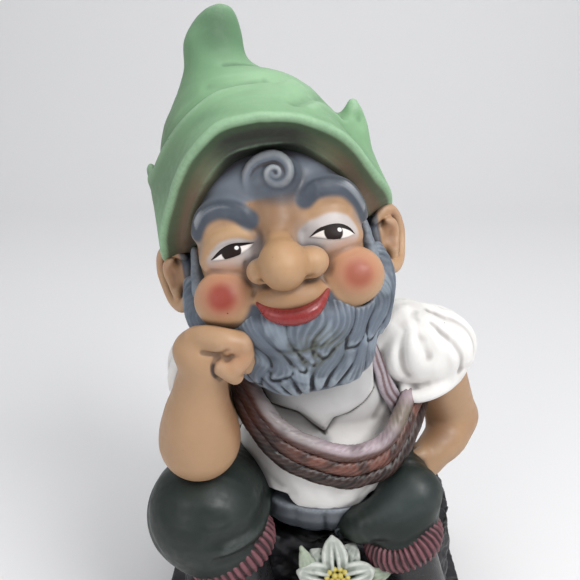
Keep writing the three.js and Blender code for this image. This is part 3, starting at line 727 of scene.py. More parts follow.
def paint_curl(piece):
    curl = piece.near(CURL_AT, (13.5, 14, 13.5), 0.15)
    # The curl is darker towards its lower part and paler on its ridges, with a painted highlight on the
    # upper ridges and painted shade in its grooves.
    piece.dab(0x383D47, 0.8, CURL_AT + [0.5, 1, -5], (14.5, 12, 13), 0.25)
    piece.spray(0x636B75, curl * ramp(piece.relief, -0.1, 0.2))
    piece.spray(0x99A2A9, 0.8 * curl * ramp(piece.relief, 0.22, 0.6) * ramp(piece.points[:, 2], 33, 44))
    piece.spray(0x292E36, 0.9 * curl * (1 - ramp(piece.relief, -0.35, -0.05)))


def paint_cheeks(piece):
    for at, red, strength in (((-36, -52, -19.5), 0x902A1E, 1.0), ((37.5, -52, -20.0), 0x923C2A, 0.8)):
        piece.dab(0xC39070, 0.8, np.add(at, (0, 4, 6)), (17, 15, 13))
        piece.dab(0xA0523B, 0.7 * strength, at, (10.5, 12, 10.5))
        piece.dab(red, 0.85 * strength, at, (6.8, 9, 6.8), 0.45)


def paint_behind_face(piece):
    """Hair colour under the back hair and on the jaw under the beard, then the ears, with painted shade in
    their hollows.
    """
    x, y, z = piece.points.T
    before_ear = 1 - ramp(abs(x), 59, 61)
    temples = ramp(abs(x), 47, 53) * before_ear * ramp(y, -26, -18)
    piece.spray(SLATE, temples + ramp(y, 8, 20) * (1 - ramp(abs(x), 61, 64)))
    cheeks = [piece.near(at, (19, 19, 18.5), 0.06) for at in ((-35, -36, -20), (35.5, -36, -21))]
    mouth = -34.5 + 9.5 * np.minimum(abs(x) / 20, 1) ** 2
    piece.spray(SLATE, ramp(mouth - z, 0, 2) * (1 - np.maximum(*cheeks)) * before_ear)
    for s in SIDES.values():
        # painted shade in the ears' hollows, then a redder tone on the ears
        piece.dab(0x8B5D40, 0.65, (66 * s, -3, -3), (5, 5, 8), 0.6)
        piece.dab(0xB17F61, 0.5, (69 * s, 4, 8), (6, 8, 8), 0.6)


def eye(side, clay):
    """A thin printed patch over the eyeball: white, iris, glint and a heavy lash line."""
    lash, lid = along(LASHES[side], 24), along(LIDS[side], 24)
    across = np.linspace(0, 1, 72)
    rows = np.array([lid + (lash - lid) * t for t in across])
    flat = rows.reshape(-1, 2)
    start = np.column_stack([flat[:, 0], np.full(len(flat), -48.0), flat[:, 1]])
    points = clay.settle(start, 0.45)
    wide = len(lash)
    piece = Piece(side + "_eye", points, grid_faces(len(across), wide, closed=False), on_head=True)
    piece.paint(0xE4DBD6)
    share = np.repeat(across, wide)
    along_lid = np.tile(np.linspace(0, 1, wide), len(across))
    height = np.tile(np.linalg.norm(lash - lid, axis=1), len(across))
    from_lash = (1 - share) * height
    (ix, iz), radius = IRISES[side]
    offset = np.hypot(flat[:, 0] - ix, flat[:, 1] - iz)
    piece.spray(0x8F8685, 0.5 * (1 - ramp(share * height, 0.1, 1.0)))
    piece.spray(0x1E100E, 1 - ramp(offset, radius - 0.35, radius + 0.15))
    thick = 3.0 * np.sin(np.pi * along_lid).clip(0) ** 0.7
    piece.spray(0x1B100F, 1 - ramp(from_lash, thick - 0.3, thick + 0.25))
    (gx, gz), glint = GLINTS[side]
    piece.spray(0xF6F2EE, 1 - ramp(np.hypot(flat[:, 0] - gx, flat[:, 1] - gz), glint - 0.3, glint + 0.15))
    return piece


def lip():
    clay = Clay((-26, -68, -46), (28, -38, -18), FINE * 0.8, on_head=True)
    middle_line = [[-18, -49.5, -26], [-11, -53.5, -33], [0, -55.2, -36.2], [11, -54, -34],
                   [20, -48.5, -26]]
    clay.roll(middle_line, [1.4, 4.0, 4.7, 4.1, 1.5], 0.5)
    clay.score([[px, py - 1.4, pz + 1.2] for px, py, pz in MOUTH_TOP], 1.2, 0.9)
    piece = clay.skin("lip").paint(0x781417)
    # painted shade along the top of the lip, under the muzzle
    piece.streak(0x550F11, 0.8, MOUTH_TOP, 0.8, 1.6)
    return piece


# ---- hair ----------------------------------------------------------------------------------------
HAIR_MIDDLE_Y = 8  # the axis that the tresses hang round
HAIR_RADIUS = 48


def tresses(across, down, rows, width, puff):
    """How far hair stands out: wavy locks of fine threads, each row lying over the next one down."""
    height = np.zeros(np.broadcast_shapes(across.shape, down.shape), np.float32)
    covered = np.zeros(height.shape, bool)
    for k, (tip, length) in enumerate(rows):
        wave = 5.4 * np.sin(down / 9.5 + 2.4 * np.sin(across / 21 + k) + 1.7 * k)
        wave = wave + 1.6 * np.sin(down / 5 + across / 8 + 2.1 * k)
        place = (across + wave) / width + 0.37 * k
        lock = np.floor(place)
        off = 2 * (place - lock) - 1
        end = tip + 0.2 * length * np.sin(lock * 12.99 + 7.1 * k) + 0.3 * length * np.abs(off) ** 3
        above = down - end
        share = np.clip(above / length, 0, 1)
        dome = np.sqrt(1 - 0.92 * off**2)
        thread = 0.8 * np.abs(np.sin(math.pi * place * 4.5 + 0.8 * np.sin(down / 6)))
        full = (puff * (0.45 + 0.55 * (1 - share)) * dome + thread) * ramp(above, 0, 2.2)
        here = (above > 0) & ~covered
        height[here] = full[here]
        covered |= above > 0
    return height


def groom(clay, rows, width, puff, front=1.0):
    """Turns the surface into tresses that hang round the head; front is the share kept at the face."""
    cells, (x, y, z) = clay.window(clay.low, clay.low + clay.voxel * np.array(clay.field.shape))
    across = np.arctan2(x, HAIR_MIDDLE_Y - y) * HAIR_RADIUS
    amount = tresses(across, z + 0 * across, rows, width, puff)
    clay.field[cells] -= amount * (front + (1 - front) * ramp(y, -8, 8))


def beard():
    clay = Clay((-66, -72, -104), (66, 34, -4), FINE, on_head=True)
    clay.add(ball((3, -15, -49), (43, 26, 31)))
    clay.add(ball((1, -20, -36), (48, 26, 20)), 8)
    clay.add(ball((0, -33, -40), (34, 20.5, 15)), 6)
    clay.add(ball((8, -11, -64), (31, 18, 20)), 8)
    for s in SIDES.values():
        clay.roll([[54 * s, -8, -10], [53 * s, -12, -26], [43 * s, -18, -44]], [5, 8, 10], 6)
    groom(clay, ((-66, 36), (-91, 44)), 12, 2.6)
    for s in SIDES.values():
        clay.cut(ball((34.8 * s, -36, -21), (18.9, 17.4, 17.4)), 0.5)
    clay.cut(ball((0, -42, -24), (22, 21, 11.5)), 0.5)
    piece = clay.skin("beard").paint(0x616B78)
    z = piece.points[:, 2]
    piece.cloud(0x3F4752, 0.6, 26, 3, 0.1, 0.8)
    piece.cloud(0x8E9AA5, 0.7, 22, 4, 0.1, 0.7)
    piece.spray(0x9FAAB3, 0.6 * ramp(-z, 66, 84) * ramp(piece.relief, 0.0, 0.4))
    stained = piece.near((8, -44, -56), (17, 14, 13), 0.6)
    piece.spray(0x5B5B41, 0.7 * stained * ramp(-piece.relief, -0.3, 0.2))
    # painted shade on the beard just under the lip
    piece.streak(0x343A43, 0.6, [[-20, -48, -33], [0, -52, -44], [22, -48, -33]], 1.0, 3.5)
    return piece


def back_hair():
    clay = Clay((-74, -40, -80), (74, 76, 50), 0.9, on_head=True)
    clay.add(ball((0, 12, -12), (57, 45, 48)))
    clay.add(ball((0, 22, -30), (49, 35, 34)), 12)
    for s in SIDES.values():
        clay.roll([[50 * s, -10, 10], [51 * s, -14, -8], [50 * s, -16, -24], [46 * s, -18, -38]],
                  [1.5, 3.2, 4.2, 3], 3)
    groom(clay, ((-16, 50), (-60, 60)), 12.5, 3.2, front=0.35)
    for s in SIDES.values():
        clay.cut(ball((71 * s, 3, -5), (9.5, 12, 18)), 1)
    piece = clay.skin("back_hair").paint(0x616A76)
    piece.cloud(0x454D58, 0.6, 30, 5, 0.0, 0.8)
    piece.cloud(0x7F8995, 0.5, 24, 6, 0.2, 0.8)
    return piece


# ---- hat -----------------------------------------------------------------------------------------
CROWN = [  # height, then the middle's x, half width, the middle's y, half depth
    [0, 0, 54, 4, 57], [42, -1, 58, 4, 58], [66, -5, 56, 4, 54], [84, -7, 49, 4, 46], [94, -8, 42, 4, 39],
    [102, -10.5, 34.5, 3, 32], [109, -16, 25, 2, 24], [118, -18, 19, 1, 19], [132, -17, 17.5, 0, 17],
    [142, -14, 13.5, 0, 13.5], [148, -11.5, 8.5, 0, 8.5], [151, -10.5, 2.5, 0, 2.5],
]
BRIM_MIDDLE_Y = 4
BRIM = along([  # degrees from the front, then radius and height of the band, rim and turned-up edge
    [0, 46, 56, 76, 66, 42, 90], [14, 46, 55, 76, 64, 43, 90], [23, 46, 52, 75, 59.5, 45, 90],
    [33, 47, 45, 73.5, 53, 48, 87], [42, 48, 38, 72, 45, 52, 83], [51, 49, 30, 70, 36.5, 56, 78],
    [60, 50, 23, 69, 29.5, 60, 71], [70, 51, 17, 69, 23, 63, 65], [80, 51, 13, 69, 17, 66, 60],
    [98, 51, 12, 69.5, 11, 69, 66], [125, 51, 11, 71, 10, 75, 50], [180, 51, 10, 72, 8, 80, 44],
], 8)
BRIM_LEAN = along([  # degrees from the front, then how much higher the left rim is, and lower the right
    [0, 0], [14, -1.4], [23, -1.2], [33, -0.4], [42, 0.3], [51, 0.3], [60, 0.3], [70, 2], [80, 4.2],
    [98, 3], [125, 0], [180, 0],
], 8)
TIPS = {  # degrees from the front, then what each side's raised tip adds to the edge's radius and height
    "right": along([[0, 0, 0], [84, 0, 0], [98, 2, -1], [110, 1, 0], [125, 0, 0], [180, 0, 0]], 6),
    "left": along([
        [0, 0, 0], [28, 0, 0], [40, -2, -5], [52, -5, -9], [62, -6, -6], [72, -6, -3], [82, -6, -4],
        [92, -6, -4], [106, -4, -1], [125, 0, 0], [180, 0, 0],
    ], 6),
}
BRIM_THICK = 4.4


def brim_at(degrees):
    """Radius and height of the brim's band, rim and edge, at degrees from the front, + to the left."""
    size = np.abs(degrees)
    section = between(BRIM, size)
    lean = between(BRIM_LEAN, size)[0] * np.sign(degrees)
    section[3] = section[3] + lean
    for side, s in SIDES.items():
        mine = np.sign(degrees) == s
        out, up = between(TIPS[side], size)
        section[4] = section[4] + out * mine
        section[5] = section[5] + up * mine
    return section


def segment_distance(r, z, a, b):
    """Distance from the line between two points of a section."""
    span = (b[0] - a[0], b[1] - a[1])
    t = np.clip(((r - a[0]) * span[0] + (z - a[1]) * span[1]) / (span[0] ** 2 + span[1] ** 2), 0, 1)
    return np.hypot(r - a[0] - t * span[0], z - a[1] - t * span[1])


def right_of(r, z, a, b):
    return (b[0] - a[0]) * (z - a[1]) - (b[1] - a[1]) * (r - a[0]) > 0


def hat():
    clay = Clay((-86, -90, 0), (86, 94, 156), 1.0, on_head=True)
    lowest, highest = clay.low, clay.low + np.array(clay.field.shape) * clay.voxel
    crown = along(CROWN, 6)

    def crown_distance(x, y, z):
        cx, rx, cy, ry = (column.astype(np.float32) for column in between(crown, z))
        share = np.sqrt(((x - cx) / rx) ** 2 + ((y - cy) / ry) ** 2)
        around = np.degrees(np.arctan2(x, BRIM_MIDDLE_Y - y))
        band = brim_at(around)[1]
        body = (share - 1) * np.minimum(rx, ry) * 0.85
        return np.maximum(np.maximum(body, band - z), z - CROWN[-1][0])

    def brim_distance(x, y, z):
        around = np.degrees(np.arctan2(x, BRIM_MIDDLE_Y - y))
        r = np.hypot(x, y - BRIM_MIDDLE_Y)
        s = [part.astype(np.float32) for part in brim_at(around)]
        band, rim, edge = s[0:2], s[2:4], s[4:6]
        gap = np.minimum(segment_distance(r, z, band, rim), segment_distance(r, z, rim, edge))
        gap = np.minimum(gap, segment_distance(r, z, edge, band))
        inside = right_of(r, z, band, rim) & right_of(r, z, rim, edge) & right_of(r, z, edge, band)
        return (np.where(inside, -gap, gap) - BRIM_THICK / 2) * 0.9

    clay.add((lowest, highest, crown_distance), 0.01)
    clay.add((lowest, highest, brim_distance), 4)
    clay.roll([[50, -10, 55], [54, -12, 66], [55.5, -17, 75.5]], [12, 8.6, 3.2], 6)
    degrees = np.array([-84.0, -74, -60, -44, -26, -8, 8, 20])
    edge, height = brim_at(degrees)[4:6]
    angle = np.radians(degrees)
    crease = np.column_stack([edge * np.sin(angle), BRIM_MIDDLE_Y - edge * np.cos(angle), height + 2])
    crease = clay.settle(crease)
    clay.score(crease, 4.4, 3.2)
    clay.fold(crease[:-1] + [0, -3, -8], 5.0, -2.2)
    for fold in (
        ([[-12, -22, 110], [2, -16, 108.5], [12, -6, 108]], 2.2, 1.4),
        ([[20, -58, 72], [30, -44, 78], [40, -26, 84], [42, -8, 86]], 5.0, 2.4),
        ([[28, -56, 68], [38, -44, 74], [48, -26, 78]], 4.0, -1.6),
        ([[52, -30, 62], [55, -14, 66], [54, 4, 70]], 4.0, 2.6),
        ([[-24, -34, 98], [-8, -38, 97], [8, -34, 96]], 4.0, 1.6),
        ([[30, 36, 92], [6, 46, 90], [-22, 44, 94]], 5.0, 2.6),
        ([[-36, 22, 98], [-22, 26, 110], [-6, 22, 114]], 4.0, 2.0),
        ([[44, 30, 66], [22, 50, 70], [-8, 56, 68], [-38, 44, 70]], 6.0, 2.6),
    ):
        clay.fold(*fold)
    return paint_hat(clay.skin("hat").paint(0x82A980))


def paint_hat(piece):
    x, y, z = piece.points.T
    degrees = np.degrees(np.arctan2(x, BRIM_MIDDLE_Y - y))
    r = np.hypot(x, y - BRIM_MIDDLE_Y)
    s = brim_at(degrees)
    piece.cloud(0x678F68, 0.45, 60, 8, 0.0, 0.9)
    # painted shade round the crown's knob
    piece.dab(0x5C8460, 0.7, (-14, -10, 130), (24, 22, 26), 0.7)
    piece.dab(0x2C4A2E, 0.65, (-13, -17, 136), (10, 12, 15), 0.8)
    # painted shade on the crown's right side
    piece.spray(0x5E6F58, 0.6 * ramp(-x, 24, 54) * ramp(z, 20, 50))
    # painted highlight on the front of the crown's left side
    piece.dab(0x9CC09A, 0.6, (24, -36, 92), (34, 34, 26), 0.8)
    under = segment_distance(r, z, s[2:4], s[4:6]) - segment_distance(r, z, s[0:2], s[2:4])
    below = ramp(under, 0.2, 1.6) * (1 - ramp(np.abs(degrees), 84, 92)) * ramp(r, 40, 44)
    side = ramp(np.abs(degrees), 14, 46)
    lip_band = 1 - ramp(np.hypot(r - s[2], z - s[3]), 5, 11)
    # Under the brim: painted shade at the front, the underside's beige paint at the sides, the hat's green
    # turning under the rim and darkened as painted shade, and deep painted shade next to the head.
    piece.spray(0x3A3D35, below * (1 - side))
    piece.spray(0x6E5B48, below * side)
    piece.spray(0x455C41, 0.8 * below * lip_band)
    piece.spray(0x221F1E, 0.85 * below * (1 - ramp(r, 50, 60)))
    # a redder brown streak across the brim's underside on the left
    brown_streak = piece.beside([[52, -56, 42], [62, -38, 33], [69, -20, 24]], 1.0, 2.5)
    piece.spray(0x7C5A44, 0.5 * brown_streak * below)
    return piece


# ---- arms ----------------------------------------------------------------------------------------
def right_arm():
    """The raised arm: an elbow on the knee, a plump forearm and a fist under the cheek."""
    clay = Clay((-104, -112, 168), (-30, 12, 292), FINE)
    clay.roll([[-75, -76, 196], [-74, -79, 214], [-72, -82, 230], [-69, -85, 246], [-66, -86, 258]],
              [22.5, 21, 17, 14.5, 15], 3)
    clay.roll([[-74, -72, 199], [-76, -40, 203], [-78, 2, 204]], [22, 21, 19], 10)
    clay.add(ball((-65.5, -85, 264), (19.5, 14.5, 14.5)), 5)
    clay.roll([[-71, -88, 272.5], [-64, -91.5, 275], [-55, -95, 275], [-46.5, -94, 273]],
              [7, 7.4, 7.4, 7.0], 3)
    clay.roll([[-47.0, -92.5, 272.5], [-46, -94.5, 266], [-49, -98, 262]], [7.0, 6.8, 5.8], 1.2)
    clay.roll([[-64, -92, 257], [-58, -97, 261.5], [-52.5, -98.5, 259.5], [-50, -97, 255]],
              [7, 6, 6, 5], 1.6)
    clay.roll([[-44, -84, 270], [-42.5, -84, 262], [-45, -84, 255]], [6.8, 6.6, 6], 2.5)
    for fold in (
        ([[-67, -101, 270.5], [-61, -101, 269.3], [-57, -103, 269.6], [-53, -104, 272.8]], 1.2, 2.2),
        ([[-57.5, -103, 269.5], [-54, -104, 268.2], [-51, -104, 269.2]], 1.0, 1.5),
        ([[-59.2, -102, 269.0], [-61, -101, 264], [-61, -100, 258.5], [-58, -99, 253.5]], 1.3, 2.4),
        ([[-58, -99, 253.5], [-53, -98, 251], [-48, -96, 250]], 1.3, 1.5),
    ):
        clay.fold(*fold)
    clay.fold([[-92, -66, 190], [-97, -56, 206], [-95, -46, 222]], 3.0, 1.2)
    piece = clay.skin("right_arm").paint(0xB18C69)
    # painted shade along the forearm's inner side
    piece.streak(0x855B40, 0.6, [[-52, -70, 178], [-50, -76, 205], [-53, -82, 228], [-60, -84, 246]],
                 3, 12)
    piece.dab(0xA47051, 0.4, (-48, -98, 268), (9, 9, 9), 0.8)
    piece.streak(0x24140D, 0.95, [[-67, -101, 270.5], [-57, -103, 269.6], [-53, -104, 272.8]], 0.4, 1.0)
    thumb = [[-59.2, -102, 269], [-61, -101, 264], [-61, -100, 258.5], [-58, -99, 253.5], [-51, -97, 251]]
    piece.streak(0x24140D, 0.95, thumb, 0.5, 1.2)
    # painted shade under the elbow, where it rests on the knee
    piece.spray(0x54392A, 0.6 * ramp(-piece.points[:, 2], -182, -170))
    return piece


def left_arm():
    """The lowered arm: an elbow out to the side and a hand on the hip."""
    clay = Clay((46, -46, 118), (124, 30, 236), FINE)
    clay.roll([[76, -4, 214], [86, 0, 190], [98, 5, 162]], [22, 20, 17.5], 4)
    clay.roll([[99, 6, 159], [92, -8, 152], [82, -18, 147], [74, -24, 142]], [17, 15.5, 13, 11.5], 6)
    clay.roll([[76, -22, 141], [68, -27, 138], [60, -25, 134]], [11, 10.5, 9], 4)
    for k in range(4):
        z = 143 - 5.2 * k
        clay.roll([[70, -30, z], [62, -31, z - 2.5], [56, -26, z - 4]], [4.2, 4.1, 3.4], 1.2)
    clay.roll([[76, -20, 148], [72, -28, 151], [65, -31, 150]], [6, 5.4, 4.4], 2)
    clay.score([[86, 16, 172], [98, 22, 168], [108, 16, 166]], 2.2, 0.8)
    piece = clay.skin("left_arm").paint(0xAF8B69)
    # painted shade along the arm's inner side
    piece.streak(0x855E44, 0.6, [[72, -22, 196], [78, -18, 176], [84, -16, 160]], 4, 12)
    piece.dab(0xA47051, 0.35, (102, 6, 158), (16, 16, 14), 0.8)
    return piece


# ---- clothes -------------------------------------------------------------------------------------
def right_sleeve():
    clay = Clay((-114, -48, 154), (-34, 52, 244), PLAIN)
    at = (-74, 2, 199)
    clay.add(ball(at, (32, 34, 34), (0, -20, 0)))
    clay.roll([[-100, -20, 186], [-88, -32, 176], [-66, -34, 175], [-52, -26, 182]], [4, 4.5, 4.5, 4], 7)
    fold_sleeve(clay, at, -1)
    return finish_shirt(clay.skin("right_sleeve"))


def left_sleeve():
    clay = Clay((28, -58, 178), (114, 48, 278), PLAIN)
    at = (62, -8, 228)
    clay.add(ball(at, (43, 34, 27), (0, 2, 0)))
    clay.add(ball((54, -12, 238), (20, 24, 19)), 10)
    clay.roll([[54, -34, 206], [61, -38, 204], [75, -37, 208], [89, -27, 213], [98, -8, 218]],
              [3.5, 4.4, 4.6, 4.4, 3.5], 6)
    fold_sleeve(clay, at, 1)
    return finish_shirt(clay.skin("left_sleeve"))


GATHERS = (  # degrees round the shoulder, how far down it starts and ends, width and depth
    (-150, 1.05, 1.75, 2.6, 2.2), (-122, 0.5, 1.6, 3.6, 2.8), (-98, 0.9, 1.8, 2.4, 2.4),
    (-76, 0.35, 1.35, 3.6, 2.6), (-52, 0.7, 1.75, 2.8, 2.6), (-26, 0.4, 1.6, 3.8, 2.8),
    (4, 0.7, 1.8, 3.2, 2.4), (40, 0.4, 1.5, 4.0, 2.6), (82, 0.7, 1.6, 3.6, 2.4),
)
SLEEVE_REACH = 34


def fold_sleeve(clay, at, s):
    """Soft gathers that fan down from the shoulder, with a puffed ridge beside each."""
    for k, (turned, first, last, width, depth) in enumerate(GATHERS):
        line = []
        for drop in np.linspace(first, last, 5):
            angle = math.radians(turned + 14 * math.sin(2.2 * drop + k))
            way = [s * math.cos(angle) * math.sin(drop), math.sin(angle) * math.sin(drop), math.cos(drop)]
            line.append(np.array(at) + SLEEVE_REACH * np.array(way))
        line = clay.settle(line)
        clay.score(line, width * 1.5, depth * 0.8)
        aside = unit(np.cross(line[-1] - line[0], clay.slope(line[2:3])[0]))
        clay.fold(line + aside * width * 2.2, width * 1.6, -0.5 * depth)


def finish_shirt(piece):
    piece.paint(0xEDEAE6)
    piece.cloud(0xB9B2AE, 0.3, 34, 9, 0.2, 0.9)
    # painted shade in the folds
    piece.spray(0xA39C98, 0.4 * ramp(-piece.relief, 0.05, 0.5))
    return piece


HEM = [[-48, -56, 178], [-40, -64, 163], [-31, -68, 149], [-24, -70, 141], [-12, -73, 135.5],
       [3.5, -74, 131.5], [20, -73, 133], [32, -70, 140], [42, -62, 150], [52, -52, 158]]
# the collar's flaps, in x and z: down the right one to the point, then up the left one
RIGHT_FLAP = [[-36, 236], [-47, 221], [-38, 212], [-32, 204], [-15, 201], [-6, 193]]
COLLAR_POINT = [2.5, 186]
LEFT_FLAP = [[8, 198], [18, 201], [28, 208], [33, 215], [32, 234]]


def shirt():
    clay = Clay((-76, -92, 112), (80, 62, 262), PLAIN)
    clay.add(ball((3, -12, 148), (60, 56.5, 46)))
    clay.add(ball((2, -6, 202), (59, 44, 50)), 12)
    clay.cut((np.array([-90, -100, 90]), np.array([90, 80, 140]), below_hem), 1.2)
    for fold in (
        ([[3, -80, 182], [3.5, -80, 160], [3, -76, 134]], 1.1, 0.8),
        ([[-50, -50, 170], [-40, -62, 158], [-30, -68, 150]], 3.2, 1.2),
        ([[-40, -58, 180], [-30, -68, 160], [-22, -72, 146]], 4.5, 1.4),
        ([[46, -50, 170], [38, -62, 156], [28, -69, 144]], 4.0, 1.4),
        ([[40, -40, 224], [44, -44, 206], [40, -48, 190]], 4.0, 1.6),
        ([[-30, 38, 220], [-24, 44, 190], [-20, 46, 160]], 6.0, 2.0),
        ([[26, 38, 222], [22, 44, 192], [26, 46, 160]], 6.0, 2.0),
        ([[0, 44, 236], [2, 46, 200], [-2, 46, 150]], 5.0, 1.6),
    ):
        clay.fold(*fold)
    under_right = sculpt_collar(clay)
    for x, z in ((-4, 137), (9, 136), (-22, 146), (26, 141)):
        at = clay.settle([[x, -74, z]])[0]
        clay.cut(ball(at, (0.9, 1.6, 0.9)), 0.3)  # nicks above the hem
    piece = finish_shirt(clay.skin("shirt"))
    paint_shirt(piece, under_right)
    return piece


def sculpt_collar(clay):
    """Two flaps that meet in a point, over a deep fold on the right; returns the line under that one."""
    clay.add(slab(clay, RIGHT_FLAP + [COLLAR_POINT] + LEFT_FLAP, 4.8), 0.6)
    clay.score(clay.settle([[3, -58, 214], [1.5, -60, 204], [2.5, -61, 193]], 4), 1.6, 0.9)
    under_right = clay.settle([[-46, -44, 218], [-38, -48, 210], [-32, -50, 202], [-15, -54, 199],
                               [-6, -56, 191.5], [2, -57, 185]])
    under_left = clay.settle([[2.5, -57, 185], [8, -56, 196], [18, -54, 199], [28, -50, 206],
                              [34, -46, 213]])
    clay.score(under_right, 1.7, 3.2)
    clay.score(under_left, 1.4, 2.6)
    clay.score(clay.settle([[-40, -48, 222], [-31, -54, 211], [-18, -58, 205]], 3), 3.0, 1.2)
    return under_right


def paint_shirt(piece, under_right):
    """Shadows along the rope, under the beard and round the collar and hem."""
    rope_top = [[-49, -54, 236], [-41, -62, 228], [-34, -66, 212], [-22, -69, 198], [-2, -73, 187],
                [20, -73, 183], [37, -66, 185], [47, -57, 197], [52, -50, 207]]
    piece.streak(0xA79DAA, 0.8, rope_top, 5, 11)
    piece.spray(0x4A4149, 0.6 * piece.beside(rope_top, 0.5, 3.5) * (piece.points[:, 0] < -20))
    piece.dab(0x77777C, 0.55, (2, -40, 226), (54, 44, 30), 0.6)
    piece.streak(0x8D8E90, 0.7, under_right - [0, 0, 5], 1.0, 6)
    front = 1 - ramp(piece.points[:, 1], -34, -28)
    for edge, colour, reach in ((RIGHT_FLAP[1:] + [COLLAR_POINT], 0x14100F, 0.7),
                                ([COLLAR_POINT] + LEFT_FLAP[:4], 0x4E484A, 0.3)):
        below = [[px, 0, pz - 1.2] for px, pz in edge]
        piece.spray(colour, front * piece.beside(below, reach, 1.1, (1, 0, 1)))
    piece.streak(0x8E8A86, 0.5, HEM, 0.6, 1.6)


def below_hem(x, y, z):
    """Distance into the shirt's inside, below a notched and scalloped hem."""
    around = np.degrees(np.arctan2(x - 3, -y - 12))
    edge = np.array(HEM, float)
    front = np.interp(around, np.degrees(np.arctan2(edge[:, 0] - 3, -edge[:, 1] - 12)), edge[:, 2])
    scallop = 1.6 * np.abs(np.sin(np.radians(around * 6.2))) + 0.8 * np.sin(np.radians(around * 17))
    away = np.clip((np.abs(around) - 48) / 22, 0, 1)
    return (z - (front - scallop * (1 - away) * 1.4)) * 0.9 - away * 30


def slab(clay, outline, thick):
    """A flap lying on the front of the clay, with an outline in x and z."""
    line = np.array(outline + outline[:1], float)
    low, high = line.min(0), line.max(0)
    base = clay.field.copy()

    def distance(x, y, z):
        inside = np.zeros(np.broadcast_shapes(x.shape, z.shape), bool)
        gap = np.full(inside.shape, FAR, np.float32)
        for a, b in zip(line, line[1:]):
            if a[1] != b[1]:
                crosses = (a[1] <= z) != (b[1] <= z)
                inside = inside ^ (crosses & (x < a[0] + (z - a[1]) / (b[1] - a[1]) * (b[0] - a[0])))
            step = b - a
            t = np.clip(((x - a[0]) * step[0] + (z - a[1]) * step[1]) / (step @ step), 0, 1)
            gap = np.minimum(gap, np.hypot(x - a[0] - t * step[0], z - a[1] - t * step[1]))
        edge = np.where(inside, -gap, gap)
        corner = np.array([x.flat[0], y.flat[0], z.flat[0]])
        first = np.round((corner - clay.low) / clay.voxel).astype(int)
        part = base[tuple(slice(f, f + n) for f, n in zip(first, (x.size, y.size, z.size)))]
        puffed = thick * np.sqrt(np.clip(-edge / 7, 0, 1)) * 0.35 + thick * 0.65
        return np.maximum(np.maximum(part - puffed, edge), y + 20)

    return np.array([low[0], -90, low[1]]), np.array([high[0], -20, high[1]]), distance


def brace(side, clay):
    """A ribbed strap from the shoulder down to the rope."""
    s = SIDES[side]
    path = np.array([[31, -29, 239], [35, -35, 227], [40, -38, 215], [45, -36, 204], [50, -32, 193],
                     [54, -28, 184]])
    path = clay.settle(path * [s, 1, 1], 2.0)
    strap = Clay((path[:, 0].min() - 14, -70, 176), (path[:, 0].max() + 14, -14, 256), FINE * 0.8)
    line = along(path, 6)
    outs = clay.slope(line)
    sides = np.cross(outs, np.gradient(line, axis=0))
    sides /= np.maximum(np.linalg.norm(sides, axis=1, keepdims=True), 1e-9)
    for share in (-1, 0, 1):
        rib = line + sides * share * 3.4 + outs * (0.6 if share else 1.3)
        strap.lay(np.column_stack([rib, np.full(len(rib), 2.3)]), 0.4)
    piece = strap.skin(side + "_brace").paint(0x8E8085)
    # painted shade in the grooves between the ribs, and at the lower end where the brace runs under the
    # rope
    piece.spray(0x6B4A48, 0.7 * (piece.relief < 0.12))
    piece.spray(0x4A3536, 0.5 * ramp(-piece.points[:, 2], -196, -184))
    return piece


ROPE = [  # a point on the top turn's middle, then the step down to the next turn
    [-53, -46, 243, -1, 1, -7], [-46, -56, 227, -1, -1, -9.9], [-25, -68, 200, 0, -1, -10.2],
    [8, -71, 185, 0, 0, -10.4], [28, -68, 184, 0, 0, -10.4], [43, -58, 188, 2, 0, -10.2],
    [57, -36, 204, 3, 0, -9.6], [67, -4, 206, 1, 1, -10], [46, 42, 210, 0, 2, -10],
    [0, 50, 222, 0, 2, -10], [-40, 36, 234, -6, 2, -8], [-62, -8, 248, -9, 0, -5],
]
ROPE_TURNS = 3
ROPE_LAY = 20.0  # how far along the rope a strand goes round once
ROPE_TALL = 1.06  # the rope's height as a share of its thickness


def rope_turn(turn):
    """One turn of a three-strand rope, swept round the body and twisted as it goes."""
    table = np.array(ROPE, float)
    path = table[:, :3] + turn * table[:, 3:]
    closed = np.vstack([path, path[:1]])
    line = along(np.vstack([closed[-3:-1], closed, closed[1:3]]), 40)[80:-79]
    ways = np.gradient(line, axis=0)
    ways /= np.linalg.norm(ways, axis=1, keepdims=True)
    outs = line - [0, -8, 0]
    outs[:, 2] = 0
    outs -= ways * (outs * ways).sum(1)[:, None]
    outs /= np.linalg.norm(outs, axis=1, keepdims=True)
    ups = np.cross(ways, outs)
    ups *= np.sign(ups[:, 2:3])
    run = np.concatenate([[0], np.cumsum(np.linalg.norm(np.diff(line, axis=0), axis=1))])
    around = np.linspace(0, 2 * math.pi, 40, endpoint=False)
    lay = run[:, None] / ROPE_LAY * 2 * math.pi
    twist = 3 * (around[None] - lay / 3)
    groove = np.abs(np.cos(twist / 2)) ** 0.6
    fibre = 0.3 * np.sin(9 * around[None] - lay * 4.2) + 0.1 * np.sin(19 * around[None] + lay)
    worn = 0.65 + 0.35 * ramp(np.sin(run / 31 + turn * 2.2), -0.7, 0.6)[:, None]
    radius = 5.2 + 0.6 * fibre - worn * 0.75 * (1 - groove)
    angle = around[None, :, None]
    across = np.cos(angle) * outs[:, None] + ROPE_TALL * np.sin(angle) * ups[:, None]
    points = line[:, None] + radius[..., None] * across
    piece = Piece(f"rope_turn_{turn + 1}", points.reshape(-1, 3), grid_faces(*radius.shape))
    piece.relief = ((radius - 4.5) / 1.1 + fibre * 0.8).ravel() * 0.6
    paint_rope(piece, turn, ramp(np.tile(np.sin(around), len(line)), 0.0, 0.6))
    return piece


